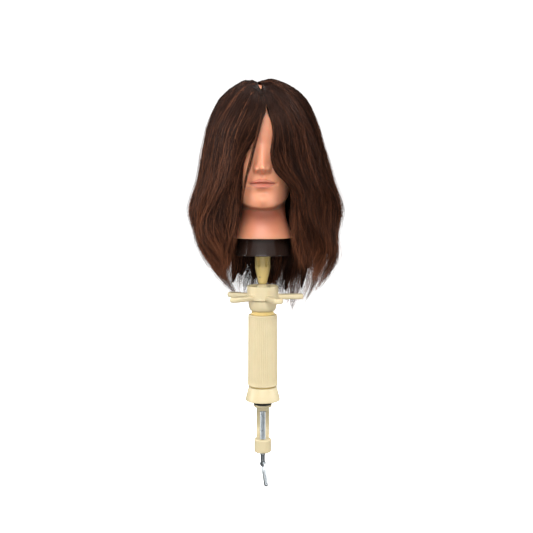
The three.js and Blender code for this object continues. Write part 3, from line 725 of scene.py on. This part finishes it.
def add_lever():
    """Round bar that flattens into a tongue round the pin."""
    radius, length, shoulder, half_tongue, lean = LEVER.values()

    def flat(angles, radius, height):
        blend = min(1.0, max(0.0, (height + shoulder) / 0.7))
        radii = np.full(len(angles), radius)
        limit = half_tongue / np.maximum(np.abs(np.cos(angles)), 1e-6)
        return radii * (1 - blend) + np.minimum(radii, limit) * blend

    heights = np.linspace(-6.1, 0.0, 6)
    bar = [(0, -length), *arc_points(-length + radius, radius, 180, 90, 9)[1:], (radius, -20)]
    bar += [(radius, -7.4), (3.4, -shoulder)]
    bar += [(radius, z) for z in heights]
    bar += [(radius * math.cos(a), radius * math.sin(a)) for a in np.radians([15, 30, 45, 60, 75, 90])]
    verts, faces = turned(bar, 48, flat)
    turn = at_hinge() @ Matrix.Rotation(math.radians(-lean), 4, "X")
    make_piece("lever", moved(verts, turn), faces, STEEL, "lever", ["fold_lever"])


def finish_cad_nodes():
    """Gives the CAD pieces that stay, all hidden inside, their real materials."""
    looks = {"tie_bolt": STEEL, "tie_nut": STEEL, "ball_seat": NYLON, "ball_shoe": NYLON, "foam_core": FOAM}
    for name, material in looks.items():
        for material_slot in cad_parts[name].material_slots:
            material_slot.material = material


# ---------------------------------------------------------------- head

# The levels slope between the neck and the top, most at the chin's underside: by twice the rise at the nape.
JAWLINE = dict(neck=322.0, bottom=331.0, top=390.0, rise=22.0)
SKIN_WALL = 4.5

# Height, half width, reach to the front, reach to the back.
HEAD_LEVELS = np.array([
    (281, 51.6, 50.5, 50.5), (290, 47.5, 47, 47), (305, 42, 43, 44), (322, 38, 41, 46),
    (327, 38, 42, 46.5), (329.6, 39, 54, 47.4), (330.6, 41, 77, 48), (332, 43, 82.5, 49),
    (336, 44.5, 84, 51), (355, 48.5, 85.5, 60), (372, 53, 87, 68), (390, 58, 86, 78),
    (410, 64, 86, 84), (432, 68, 85, 88), (452, 71, 89, 90), (472, 71.5, 89, 90), (492, 68, 83, 87),
    (508, 60, 71, 79), (520, 48, 56, 66), (529, 32, 37, 46), (533, 14, 15, 22), (534, 0.5, 0.5, 0.5),
], float)


def head_sizes(heights):
    """Half width and reach to the front and back at these heights."""
    return np.column_stack([np.interp(heights, HEAD_LEVELS[:, 0], HEAD_LEVELS[:, k]) for k in (1, 2, 3)])


def jaw_rise(angles, height):
    """How much higher a level runs at an angle than at the front, so that the jaw climbs to the nape."""
    share = np.interp(height, (JAWLINE["neck"], JAWLINE["bottom"], JAWLINE["top"]), (0, 1, 0))
    return JAWLINE["rise"] * share * (1 - np.cos(angles))


def bell(x, z, cx, cz, sx, sz):
    """A smooth bump of height 1 about (cx, cz)."""
    return np.exp(-(((x - cx) / sx) ** 2) - ((z - cz) / sz) ** 2)


def step(value, low, high):
    """Rises smoothly from 0 at low to 1 at high."""
    t = np.clip((value - low) / (high - low), 0, 1)
    return t * t * (3 - 2 * t)


# The nose's profile from its underside to the brow, as height and rise, and its half width at some heights.
NOSE_RISE = ((383, 385.5, 387.5, 390, 393, 397, 404, 412, 424, 436, 450),
             (0, 2.0, 7.0, 11.5, 14.0, 15.0, 12.6, 9.4, 5.8, 3.0, 1.0))
NOSE_WIDTH = ((386, 394, 404, 424, 436, 450), (8.4, 9.4, 10.4, 12.0, 14.0, 17))
MOUTH = 20.5  # half its width


def face_relief(x, z):
    """How far the face stands forward of the plain head, in millimetres."""
    ax = np.abs(x)
    rise = np.interp(z, *NOSE_RISE)
    width = np.interp(z, *NOSE_WIDTH)
    nose = rise * np.exp(-((ax / width) ** 2))
    tip = 4.4 * bell(x, z, 0, 392.6, 6.6, 5.4)
    wings = 6.0 * bell(ax, z, 10.0, 391.5, 3.8, 4.8)
    nostrils = -3.0 * bell(ax, z, 5.6, 387.2, 2.2, 1.3)
    wing_crease = -1.5 * bell(ax, z, 15.0, 393, 1.8, 5)
    bow = 376.0 + 0.9 * np.exp(-(((ax - 4.5) / 3.0) ** 2)) - 2.6 * (ax / MOUTH) ** 2
    upper = 4.2 * np.exp(-(((z - bow + 2.6) / 3.0) ** 2)) * step(22.5 - ax, 0, 13)
    lower = 5.6 * bell(x, z, 0, 364.6, 12.0, 3.6)
    line = 370.0 + 0.5 * np.cos(x / MOUTH * math.pi) + 0.35
    seam = -3.4 * np.exp(-(((z - line) / 0.95) ** 2)) * step(21.5 - ax, 0, 4)
    corners = -1.8 * bell(ax, z, 22.0, 369.6, 2.6, 3.0)
    philtrum = -1.0 * bell(x, z, 0, 381.5, 2.4, 4.5) + 0.4 * bell(ax, z, 4.4, 381.0, 1.9, 5)
    fold = -2.8 * bell(x, z, 0, 354.5, 13, 4.2)
    chin = 4.6 * bell(x, z, 0, 343.5, 13, 8.5)
    cheeks = 2.2 * bell(ax, z, 36, 398, 15, 14)
    sockets = -5.5 * bell(ax, z, 32, 431, 13, 9.5)
    lids = 4.6 * bell(ax, z, 31, 428.5, 11.5, 6.2)
    brow = 1.8 * bell(ax, z, 32, 448, 15, 8)
    face = nose + tip + wings + nostrils + wing_crease + upper + lower + seam + corners
    return face + philtrum + fold + chin + cheeks + sockets + lids + brow


def lip_mask(x, z):
    """1 on the painted lips: between the cupid's bow and the lower lip's edge."""
    ax = np.abs(x)
    bow = 376.6 + 0.9 * np.exp(-(((ax - 4.5) / 3.0) ** 2)) - 5.6 * (ax / MOUTH) ** 2.2
    floor = 361.8 + 7.6 * (ax / MOUTH) ** 2
    return step(z, floor - 1.2, floor + 1.2) * step(bow - z, -0.9, 0.9) * step(20.8 - ax, 0, 1.8)


def brow_mask(x, z):
    """1 on the painted brows and lashes."""
    ax = np.abs(x)
    arch = 449 + 3.2 * np.sin(np.clip((ax - 20) / 32, 0, 1) * math.pi) - 2.0 * step(ax, 38, 52)
    thick = np.interp(ax, [18, 23, 40, 53], [1.0, 2.8, 2.2, 0.5])
    brow = np.exp(-(((z - arch) / thick) ** 4)) * step(ax, 18, 22) * step(54 - ax, 0, 4)
    lid = 425.6 - 1.6 * np.sin(np.clip((ax - 18) / 27, 0, 1) * math.pi)
    lashes = np.exp(-(((z - lid) / 1.1) ** 4)) * step(ax, 17, 19) * step(46 - ax, 0, 2)
    return np.clip(0.75 * brow + 0.9 * lashes, 0, 1)


def head_rings(angles, heights):
    """Points of the outer skin, level by level, smoothed a little from level to level."""
    grid = np.zeros((len(heights), len(angles), 3))
    front = np.cos(angles) > 0
    for k, (z, (side, fore, back)) in enumerate(zip(heights, head_sizes(heights))):
        grid[k, :, 0] = side * np.sin(angles)
        grid[k, :, 1] = -np.where(front, fore, back) * np.cos(angles)
        grid[k, :, 2] = z + jaw_rise(angles, z)
    for _ in range(4):
        ends = grid[[0, -1]].copy()
        grid[1:-1] = (grid[:-2] + 2 * grid[1:-1] + grid[2:]) / 4
        grid[[0, -1]] = ends
    return grid


def cavity_rings(angles):
    """Points of the skin's inside, from the crown down to the open neck."""
    rings = []
    for height in (522, 512, 495, 470, 440, 410, 380, 350):
        side, fore, back = head_sizes(np.array([height]))[0] - SKIN_WALL
        reach = np.where(np.cos(angles) > 0, fore, back)
        level = height + jaw_rise(angles, height)
        rings.append(np.column_stack([side * np.sin(angles), -reach * np.cos(angles), level]))
    neck = [(34, 322), (38.8, 306), (42.4, 281.4), (44.5, 281.0), (50.2, 280.9), (51.2, 280.5)]
    return rings + [ring_of(angles, radius, height) for radius, height in neck]


def add_head():
    """Hollow vinyl skin. The face is raised from plain rings, which lie closest together at the jaw."""
    columns = 300
    turn = np.arange(columns) * TAU / columns
    angles = turn - 0.45 * np.sin(turn)
    neck, jaw = np.arange(281, 326, 2.0), np.arange(326, 338, 0.4)
    face, crown = np.arange(338, 458, 0.75), np.linspace(458, 533.6, 50)
    grid = head_rings(angles, np.concatenate([neck, jaw, face, crown]))
    facing = step(np.cos(angles), 0.12, 0.55)[None, :]
    relief = face_relief(grid[:, :, 0], grid[:, :, 2]) * facing
    grid[:, :, 1] -= relief
    x, z = grid[:, :, 0], grid[:, :, 2]
    jaw_edge = (JAWLINE["bottom"] + jaw_rise(angles, JAWLINE["bottom"]))[None, :]
    # Painted shade under the jaw: the neck is reddened most just below the jaw and less towards its bottom.
    neck_shade = 0.55 * step(z, 276, 325)
    cheek_blush = 0.22 * bell(np.abs(x), z, 37, 394, 16, 13) * facing
    masks = {
        "lips": lip_mask(x, z) * facing,
        "brow": brow_mask(x, z) * facing,
        "blush_and_shade": np.where(z < jaw_edge, neck_shade, cheek_blush),
    }
    inside = cavity_rings(angles)
    rings = [*inside, *grid]
    count = len(rings)
    faces = []
    for row in range(0, (count - 1) * columns, columns):
        for i in range(columns):
            j = (i + 1) % columns
            faces.append((row + i, row + j, row + columns + j, row + columns + i))
    faces.append(tuple(range(columns))[::-1])
    faces.append(tuple(range((count - 1) * columns, count * columns)))
    verts = np.concatenate(rings)
    obj = make_piece("vinyl_head", verts, faces, SKIN, "head", ["head_skin"])
    paint(obj, verts, masks, len(inside) * columns)


def ring_of(angles, radius, height):
    level = np.full(len(angles), height)
    return np.column_stack([radius * np.sin(angles), -radius * np.cos(angles), level])


def paint(obj, verts, masks, lead):
    """Stores each mask as an attribute of the outer skin's points, and 0 on the inside."""
    assert len(obj.data.vertices) == len(verts)
    for name, mask in masks.items():
        layer = obj.data.attributes.new(name, "FLOAT", "POINT")
        values = np.zeros(len(verts), np.float32)
        values[lead:] = mask.ravel()
        layer.data.foreach_set("value", values)


def add_socket():
    """Tapered plug with a collar below the neck's rim and a tube for the peg."""
    profile = fillet([
        (13.5, 251.5), (45.9, 251.5, 0.5), (46.3, 252.1, 0.4), (46.3, 253.6, 0.5), (45.5, 254.1, 0.3),
        (42.1, 280.3), (38.5, 305, 0.5), (35.5, 305, 0.5), (39.1, 280.3), (42.6, 255.0, 1),
        (18.2, 255.0, 1), (14.0, 321, 0.5), (10.3, 321, 0.5), (10.3, 318),
    ])
    turned_piece("socket_plug", closed_ring(profile), DARK, "head", ["neck_socket"], 128)


# ---------------------------------------------------------------- hair

# Guide locks from the parting to the tips, from the face round to the back of the head, in millimetres.
GUIDES_RIGHT = [
    [(-2, -62, 519), (3.5, -82, 504), (9, -97, 486), (17, -102, 464), (18, -104, 440), (14, -104, 416),
     (18, -103, 399), (29, -97, 383), (48, -88, 369), (56, -80, 348), (56, -72, 315), (58, -66, 280),
     (64, -60, 245), (72, -54, 215)],
    [(-1, -52, 527), (12, -72, 516), (32, -90, 486), (46, -96, 450), (52, -94, 412), (62, -88, 380),
     (76, -78, 345), (86, -66, 300), (90, -56, 255), (86, -48, 212)],
    [(-4, -36, 533), (18, -46, 531), (46, -60, 507), (72, -66, 465), (86, -62, 420), (99, -54, 370),
     (110, -44, 320), (110, -36, 275), (102, -30, 230), (92, -26, 188)],
    [(-8, -16, 537), (14, -18, 542), (46, -22, 530), (72, -24, 508), (91, -22, 468), (103, -20, 425),
     (118, -12, 380), (131, -5, 325), (130, 0, 280), (120, 4, 232), (98, 8, 180)],
    [(-9, 10, 538), (12, 14, 542), (42, 22, 528), (76, 36, 478), (94, 44, 428), (107, 50, 378),
     (115, 54, 322), (110, 58, 265), (94, 62, 200), (72, 68, 140)],
    [(-7, 30, 538), (10, 46, 537), (34, 70, 516), (54, 88, 470), (61, 97, 412), (66, 101, 357),
     (68, 103, 300), (62, 101, 240), (50, 97, 175), (40, 90, 112)],
    [(-9, 44, 536), (-7, 62, 529), (-5, 82, 514), (-4, 96, 490), (-3, 104, 458), (-3, 109, 408),
     (-3, 111, 352), (-3, 110, 297), (-3, 106, 235), (-2, 100, 172), (-2, 92, 112)],
]
GUIDES_LEFT = [
    [(-2, -64, 519), (2, -84, 504), (6, -97, 488), (-1, -102, 468), (-11, -103, 445), (-24, -100, 425),
     (-33, -96, 408), (-38, -91, 385), (-41, -82, 345), (-46, -76, 305), (-54, -68, 265), (-62, -58, 225)],
    [(-5, -54, 524), (-14, -74, 515), (-28, -90, 486), (-44, -96, 450), (-52, -92, 410), (-62, -86, 372),
     (-78, -74, 335), (-84, -66, 305), (-76, -60, 270), (-70, -54, 235), (-70, -46, 200)],
    [(-7, -38, 532), (-22, -46, 530), (-46, -60, 507), (-70, -66, 465), (-82, -62, 420), (-92, -56, 370),
     (-110, -48, 325), (-112, -42, 298), (-100, -38, 270), (-84, -34, 238), (-72, -30, 200)],
    [(-9, -16, 537), (-24, -18, 541), (-48, -22, 529), (-72, -24, 507), (-90, -22, 468), (-98, -20, 430),
     (-108, -12, 380), (-122, -5, 322), (-119, 0, 294), (-106, 4, 266), (-88, 8, 232), (-74, 12, 192)],
    [(-9, 10, 538), (-24, 14, 540), (-46, 22, 526), (-77, 36, 476), (-92, 44, 428), (-100, 50, 378),
     (-106, 54, 322), (-101, 58, 275), (-84, 62, 225), (-60, 68, 170)],
    [(-9, 30, 538), (-22, 46, 536), (-40, 70, 515), (-56, 88, 470), (-61, 97, 412), (-64, 101, 357),
     (-66, 103, 300), (-61, 101, 245), (-50, 97, 190), (-36, 88, 132)],
    [(-7, 44, 536), (-3, 62, 529), (1, 82, 514), (2, 96, 490), (3, 104, 458), (4, 109, 408), (4, 111, 352),
     (4, 110, 297), (4, 106, 238), (3, 100, 180), (3, 92, 122)],
]


def curve_through(points, samples):
    """Catmull-Rom curve through rows of points, sampled evenly by row."""
    points = np.asarray(points, float)
    count = len(points)
    place = np.linspace(0, count - 1, samples)
    row = np.minimum(place.astype(int), count - 2)
    t = (place - row).reshape(-1, *([1] * (points.ndim - 1)))

    def at(i):
        return points[np.clip(i, 0, count - 1)]

    before = np.where((row == 0).reshape(t.shape), 2 * at(row) - at(row + 1), at(row - 1))
    after = np.where((row == count - 2).reshape(t.shape), 2 * at(row + 1) - at(row), at(row + 2))
    a, b = at(row), at(row + 1)
    return 0.5 * (2 * a + (b - before) * t + (2 * before - 5 * a + 4 * b - after) * t**2
                  + (3 * a - before - 3 * b + after) * t**3)


def evenly(guide, samples):
    """A guide as points evenly spaced along its length."""
    fine = curve_through(guide, 400)
    length = np.concatenate([[0], np.cumsum(np.linalg.norm(np.diff(fine, axis=0), axis=1))])
    places = np.linspace(0, length[-1], samples)
    return np.column_stack([np.interp(places, length, fine[:, k]) for k in range(3)])


def inward(points):
    """Unit directions from the hair's surface towards the middle of the head."""
    centre = np.zeros_like(points)
    centre[..., 1] = 5
    centre[..., 2] = np.minimum(points[..., 2], 430)
    direction = centre - points
    return direction / np.linalg.norm(direction, axis=-1, keepdims=True)


class HairSheet:
    """The outer surface of one side's hair.

    across runs from 0 at the face to 1 at the back, and along from 0 at the roots to 1 at the tips.
    """

    ROWS, STEPS = 121, 121

    def __init__(self, guides, waves=1.0):
        along = np.stack([evenly(guide, self.STEPS) for guide in guides])
        table = curve_through(along, self.ROWS)
        across = np.linspace(0, 1, self.ROWS)[:, None]
        reach = waves * step(np.linspace(0, 1, self.STEPS), 0.35, 0.85)[None, :] * step(across, 0.0, 0.2)
        height = table[..., 2] / 95 * TAU
        heave = 4.5 * reach * np.sin(height + 9 * across)
        sway = 8.0 * reach * np.sin(0.8 * height + 15 * across + 1)
        outward = -inward(table)
        beside = np.cross(outward, (0, 0, 1))
        self.table = table + outward * heave[..., None] + beside * sway[..., None]

    def at(self, across, along):
        u = np.clip(across, 0, 1) * (self.ROWS - 1)
        v = np.clip(along, 0, 1) * (self.STEPS - 1)
        i = np.minimum(u.astype(int), self.ROWS - 2)
        j = np.minimum(v.astype(int), self.STEPS - 2)
        fu, fv = (u - i)[..., None], (v - j)[..., None]
        near = self.table[i, j] * (1 - fv) + self.table[i, j + 1] * fv
        far = self.table[i + 1, j] * (1 - fv) + self.table[i + 1, j + 1] * fv
        return near * (1 - fu) + far * fu


def strand_paths(sheet, layer):
    """Points and tones of a layer's strands, each drawn towards its lock as it nears the tips."""
    count, locks = layer["count"], layer["locks"]
    lock_across = np.sort(rng.uniform(0, 1, locks))
    lock_depth = rng.uniform(*layer["depth"], locks)
    lock_end = rng.uniform(*layer["end"], locks)
    lock_sway, lock_heave, lock_tone = rng.normal(0, 1, (3, locks))
    lock_phase = rng.uniform(0, TAU, (2, locks))

    across = rng.uniform(0, 1, count)
    member = np.clip(np.searchsorted(lock_across, across + rng.normal(0, 0.012, count)), 0, locks - 1)
    depth = rng.uniform(*layer["depth"], count)
    start = rng.uniform(*layer["start"], count)
    end = np.clip(lock_end[member] - 0.20 * rng.uniform(0, 1, count) ** 2, start + 0.25, 1.0)
    t = np.linspace(0, 1, STRAND_POINTS)[None, :]
    along = start[:, None] + (end - start)[:, None] * t

    pull = layer["pull"] * step(along, 0.30, 1.0)
    line = across[:, None] + (lock_across[member] - across)[:, None] * pull
    sway = np.sin(along * 9.0 + lock_phase[0][member][:, None]) * lock_sway[member][:, None]
    heave = np.sin(along * 11.0 + lock_phase[1][member][:, None]) * lock_heave[member][:, None]
    ripple = np.sin(along * 27.0 + 3 * lock_phase[0][member][:, None]) * lock_heave[member][:, None]
    line = line + (0.022 * sway + 0.010 * ripple) * step(along, 0.2, 0.9)
    splay = 0.030 * (lock_sway[member] * step(lock_depth[member], 0, 0.2))[:, None]
    line = line + splay * step(along, 0.78, 1.0)
    drift = rng.normal(0, layer["stray"], (2, count))[:, :, None]
    line = line + drift[0] * step(along, 0.15, 1.0) + drift[1] * np.sin(along * 6 + across[:, None] * 40)
    deep = depth[:, None] + (lock_depth[member] - depth)[:, None] * pull
    points = sheet.at(line, along)
    thickness = np.interp(along, [0, 0.12, 0.5, 1.0], [2.0, 8.0, 20.0, 16.0])
    tuck = (start > 0.02)[:, None] * 9.0 * np.clip(1 - t / 0.2, 0, 1)
    lift = layer["lift"] * rng.uniform(0, 1, count)[:, None] ** 2 * step(along, 0.05, 0.6)
    inset = deep * thickness + tuck + 1.6 * heave * step(along, 0.15, 0.7) - lift
    points = points + inward(points) * inset[..., None]
    wobble_scale = layer["wobble"] * step(along, 0.1, 1.0)[..., None] ** 1.5
    for frequency, size in ((9.0, 1.0), (23.0, 0.35)):
        phase = rng.uniform(0, TAU, (count, 1, 3))
        points = points + size * wobble_scale * np.sin(along[..., None] * frequency + phase)
    tone_and_light = layer["tone_and_light"] + rng.normal(0, 0.12, count) + 0.17 * lock_tone[member]
    # Painted light: a painted sheen makes strands lighter near the roots and darker along their length, and
    # a painted glow of light through the hair makes each strand's last stretch much paler.
    tone_and_light = np.clip(tone_and_light[:, None] - 0.14 * (along - 0.25) + 0.50 * step(t, 0.70, 1.0), 0, 1)
    return points, tone_and_light


def strand_mesh(name, points, tone_and_light, thickness):
    """Thin three-sided strands with closed ends, as one mesh. thickness is a strand's radius."""
    count, steps, _ = points.shape
    tangent = np.gradient(points, axis=1)
    tangent /= np.linalg.norm(tangent, axis=-1, keepdims=True) + 1e-9
    side = np.cross(tangent, inward(points))
    side /= np.linalg.norm(side, axis=-1, keepdims=True) + 1e-9
    up = np.cross(side, tangent)
    taper = np.interp(np.linspace(0, 1, steps), [0, 0.1, 0.75, 1], [0.6, 1, 0.9, 0.12])
    radius = (thickness * rng.uniform(0.7, 1.2, count))[:, None] * taper[None, :]
    corners = []
    for k in range(3):
        angle = TAU * k / 3
        corners.append(points + radius[..., None] * (math.cos(angle) * side + math.sin(angle) * up))
    verts = np.stack(corners, axis=2).reshape(-1, 3) * MM
    ring = np.arange(3)
    following = (ring + 1) % 3
    base = (np.arange(steps - 1) * 3)[:, None]
    edges = [base + ring, base + following, base + 3 + following, base + 3 + ring]
    quads = np.stack(edges, axis=-1).reshape(-1, 4)
    offsets = (np.arange(count) * steps * 3)[:, None, None]
    quads = (quads[None] + offsets).reshape(-1, 4)
    first = np.array([[2, 1, 0]]) + offsets[:, 0]
    last = np.array([[0, 1, 2]]) + (steps - 1) * 3 + offsets[:, 0]
    loops = np.concatenate([quads.ravel(), first.ravel(), last.ravel()]).astype(np.int32)
    sizes = np.concatenate([np.full(len(quads), 4), np.full(2 * count, 3)]).astype(np.int32)
    starts = np.concatenate([[0], np.cumsum(sizes)[:-1]]).astype(np.int32)
    mesh = bpy.data.meshes.new(name)
    mesh.vertices.add(len(verts))
    mesh.vertices.foreach_set("co", verts.ravel())
    mesh.loops.add(len(loops))
    mesh.loops.foreach_set("vertex_index", loops)
    mesh.polygons.add(len(sizes))
    mesh.polygons.foreach_set("loop_start", starts)
    mesh.polygons.foreach_set("loop_total", sizes)
    mesh.update(calc_edges=True)
    mesh.shade_smooth()
    layer = mesh.attributes.new("tone_and_light", "FLOAT", "POINT")
    layer.data.foreach_set("value", np.repeat(tone_and_light.ravel(), 3).astype(np.float32))
    obj = bpy.data.objects.new(name, mesh)
    bpy.context.collection.objects.link(obj)
    return obj


# Each layer of a side's hair: how many strands and locks, where they start and end along the guides, how
# deep they lie (0 at the surface), how strongly they gather into locks, how far they stray sideways, how
# far they wobble and lift off in millimetres, how light they are (0 to 1), and a strand's radius. The low
# layer, the wisps and the flyaways are paler as a painted glow of light through the hair.
LAYERS = [
    dict(name="top", count=3400, locks=150, start=(0, 0.02), depth=(0, 0.4), end=(0.74, 0.97), pull=0.82,
         stray=0.006, wobble=1.3, lift=1.0, tone_and_light=0.24, radius=0.27),
    dict(name="mid", count=2800, locks=100, start=(0.03, 0.22), depth=(0.15, 0.8), end=(0.74, 0.98),
         pull=0.82, stray=0.009, wobble=1.8, lift=0, tone_and_light=0.24, radius=0.30),
    dict(name="low", count=2000, locks=60, start=(0.2, 0.42), depth=(0.4, 1.0), end=(0.76, 0.98), pull=0.60,
         stray=0.016, wobble=2.6, lift=0, tone_and_light=0.46, radius=0.29),
    dict(name="wisps", count=900, locks=110, start=(0.3, 0.6), depth=(0, 0.8), end=(0.88, 1.0), pull=0.6,
         stray=0.030, wobble=6.0, lift=2.0, tone_and_light=0.60, radius=0.18),
    dict(name="flyaways", count=420, locks=100, start=(0, 0.35), depth=(0, 0.1), end=(0.6, 1.0), pull=0.2,
         stray=0.045, wobble=3.0, lift=6.0, tone_and_light=0.68, radius=0.12),
]
# A thin lock that hangs over the left cheek, as its two edges.
CHEEK_LOCK = [
    [(2, -100, 478), (-5, -106, 445), (-13, -106, 415), (-16, -105, 401), (-23, -101, 381),
     (-27, -97, 361), (-30, -92, 345), (-36, -84, 322)],
    [(-2, -100, 478), (-10, -105, 445), (-18, -105, 415), (-22, -103, 401), (-27, -100, 381),
     (-31, -95, 361), (-34, -90, 345), (-38, -84, 326)],
]
CHEEK_LAYER = dict(count=34, locks=4, start=(0, 0.1), depth=(0, 0.1), end=(0.8, 1.0), pull=0.5,
                   stray=0.06, wobble=0.8, lift=0, tone_and_light=0.45, radius=0.20)
STRAND_POINTS = 15
STRANDS_PER_PIECE = 2200


def add_hair():
    """Each side's hair: the mass beneath stands for the CAD solids, and the strands lie on it."""
    replaced = {
        "right": ["hair_top_right", "hair_front_right", "hair_side_right", "hair_back_right"],
        "left": ["hair_top_left", "hair_front_left", "hair_side_left", "hair_back_left"],
    }
    for side, guides in (("right", GUIDES_RIGHT), ("left", GUIDES_LEFT)):
        sheet = HairSheet(guides)
        under = add_underlayer(side, sheet)
        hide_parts(*replaced[side])
        for layer in LAYERS:
            points, tone_and_light = strand_paths(sheet, layer)
            for i, first in enumerate(range(0, layer["count"], STRANDS_PER_PIECE)):
                part = slice(first, first + STRANDS_PER_PIECE)
                name = f"hair_{layer['name']}_{side}_{i + 1}"
                obj = strand_mesh(name, points[part], tone_and_light[part], layer["radius"])
                finish_piece(obj, HAIR, "head")


def add_cheek_lock():
    """The separate thin lock over the cheek."""
    points, tone_and_light = strand_paths(HairSheet(CHEEK_LOCK, waves=0), CHEEK_LAYER)
    obj = strand_mesh("hair_cheek_lock", points, tone_and_light, CHEEK_LAYER["radius"])
    finish_piece(obj, HAIR, "head")


def add_underlayer(side, sheet):
    """The mass of hair that the loose strands lie on: a closed slab with a ragged lower edge."""
    rows, steps = 90, 60
    across = np.linspace(0.03, 1.0, rows)
    ragged = 0.66 + 0.15 * step(across, 0.5, 0.75)
    ragged = ragged + 0.035 * np.sin(across * 61) + 0.025 * np.sin(across * 143 + 1)
    along = np.linspace(0.02, 1, steps)[None, :] * ragged[:, None]
    surface = sheet.at(np.repeat(across[:, None], steps, axis=1), along)
    direction = inward(surface)
    thickness = np.interp(along, [0, 0.1, 0.3, 0.6], [1.5, 3.0, 9.0, 10.0])
    grooves = 0.8 * np.sin(across * 330)[:, None] * step(along, 0.05, 0.3)
    outer = surface + direction * (2.2 + grooves + 3.2 * step(along, 0.05, 0.3))[..., None]
    inner = surface + direction * (2.2 + thickness)[..., None]
    taper = np.linspace(0, 1, steps)[None, :, None] ** 6
    inner = inner + (outer - inner) * 0.8 * taper
    verts = np.concatenate([outer.reshape(-1, 3), inner.reshape(-1, 3)])

    def at(layer, i, j):
        return layer * rows * steps + i * steps + j

    end, last = steps - 1, rows - 1
    faces = []
    for i in range(last):
        for j in range(end):
            faces.append((at(0, i, j), at(0, i + 1, j), at(0, i + 1, j + 1), at(0, i, j + 1)))
            faces.append((at(1, i, j), at(1, i, j + 1), at(1, i + 1, j + 1), at(1, i + 1, j)))
        faces.append((at(0, i, 0), at(1, i, 0), at(1, i + 1, 0), at(0, i + 1, 0)))
        faces.append((at(0, i, end), at(0, i + 1, end), at(1, i + 1, end), at(1, i, end)))
    for j in range(end):
        faces.append((at(0, 0, j), at(0, 0, j + 1), at(1, 0, j + 1), at(1, 0, j)))
        faces.append((at(0, last, j), at(1, last, j), at(1, last, j + 1), at(0, last, j + 1)))
    return make_piece(f"hair_mass_{side}", verts, faces, HAIR_UNDER, "head")


# ---------------------------------------------------------------- build

CREAM = moulded_plastic("cream_abs", (0.635, 0.54, 0.34), (0.595, 0.50, 0.30), 0.40)
KHAKI = moulded_plastic("khaki_abs", (0.60, 0.45, 0.165), (0.55, 0.40, 0.14), 0.42)
NYLON = moulded_plastic("nylon", (0.80, 0.78, 0.70), (0.74, 0.72, 0.63), 0.45)
SKIN = vinyl_skin()
HAIR = hair_fibre()
HAIR_UNDER = hair_underlayer()
DARK = dark_gloss()
RUBBER = black_rubber()
STEEL = plated_steel()
FOAM = foam_material()

bpy.context.scene.view_settings.view_transform = "Standard"
add_camera()
add_lights()
add_world()
add_floor()

add_grip()
add_foot()
add_post()
add_housing()
add_clamp()
add_small_holder_pieces()
add_nut()
add_ball()
add_peg()
add_ring()
add_pad()
add_screw()
add_hinge_pin()
add_lever()
add_head()
add_socket()
add_hair()
add_cheek_lock()
finish_cad_nodes()
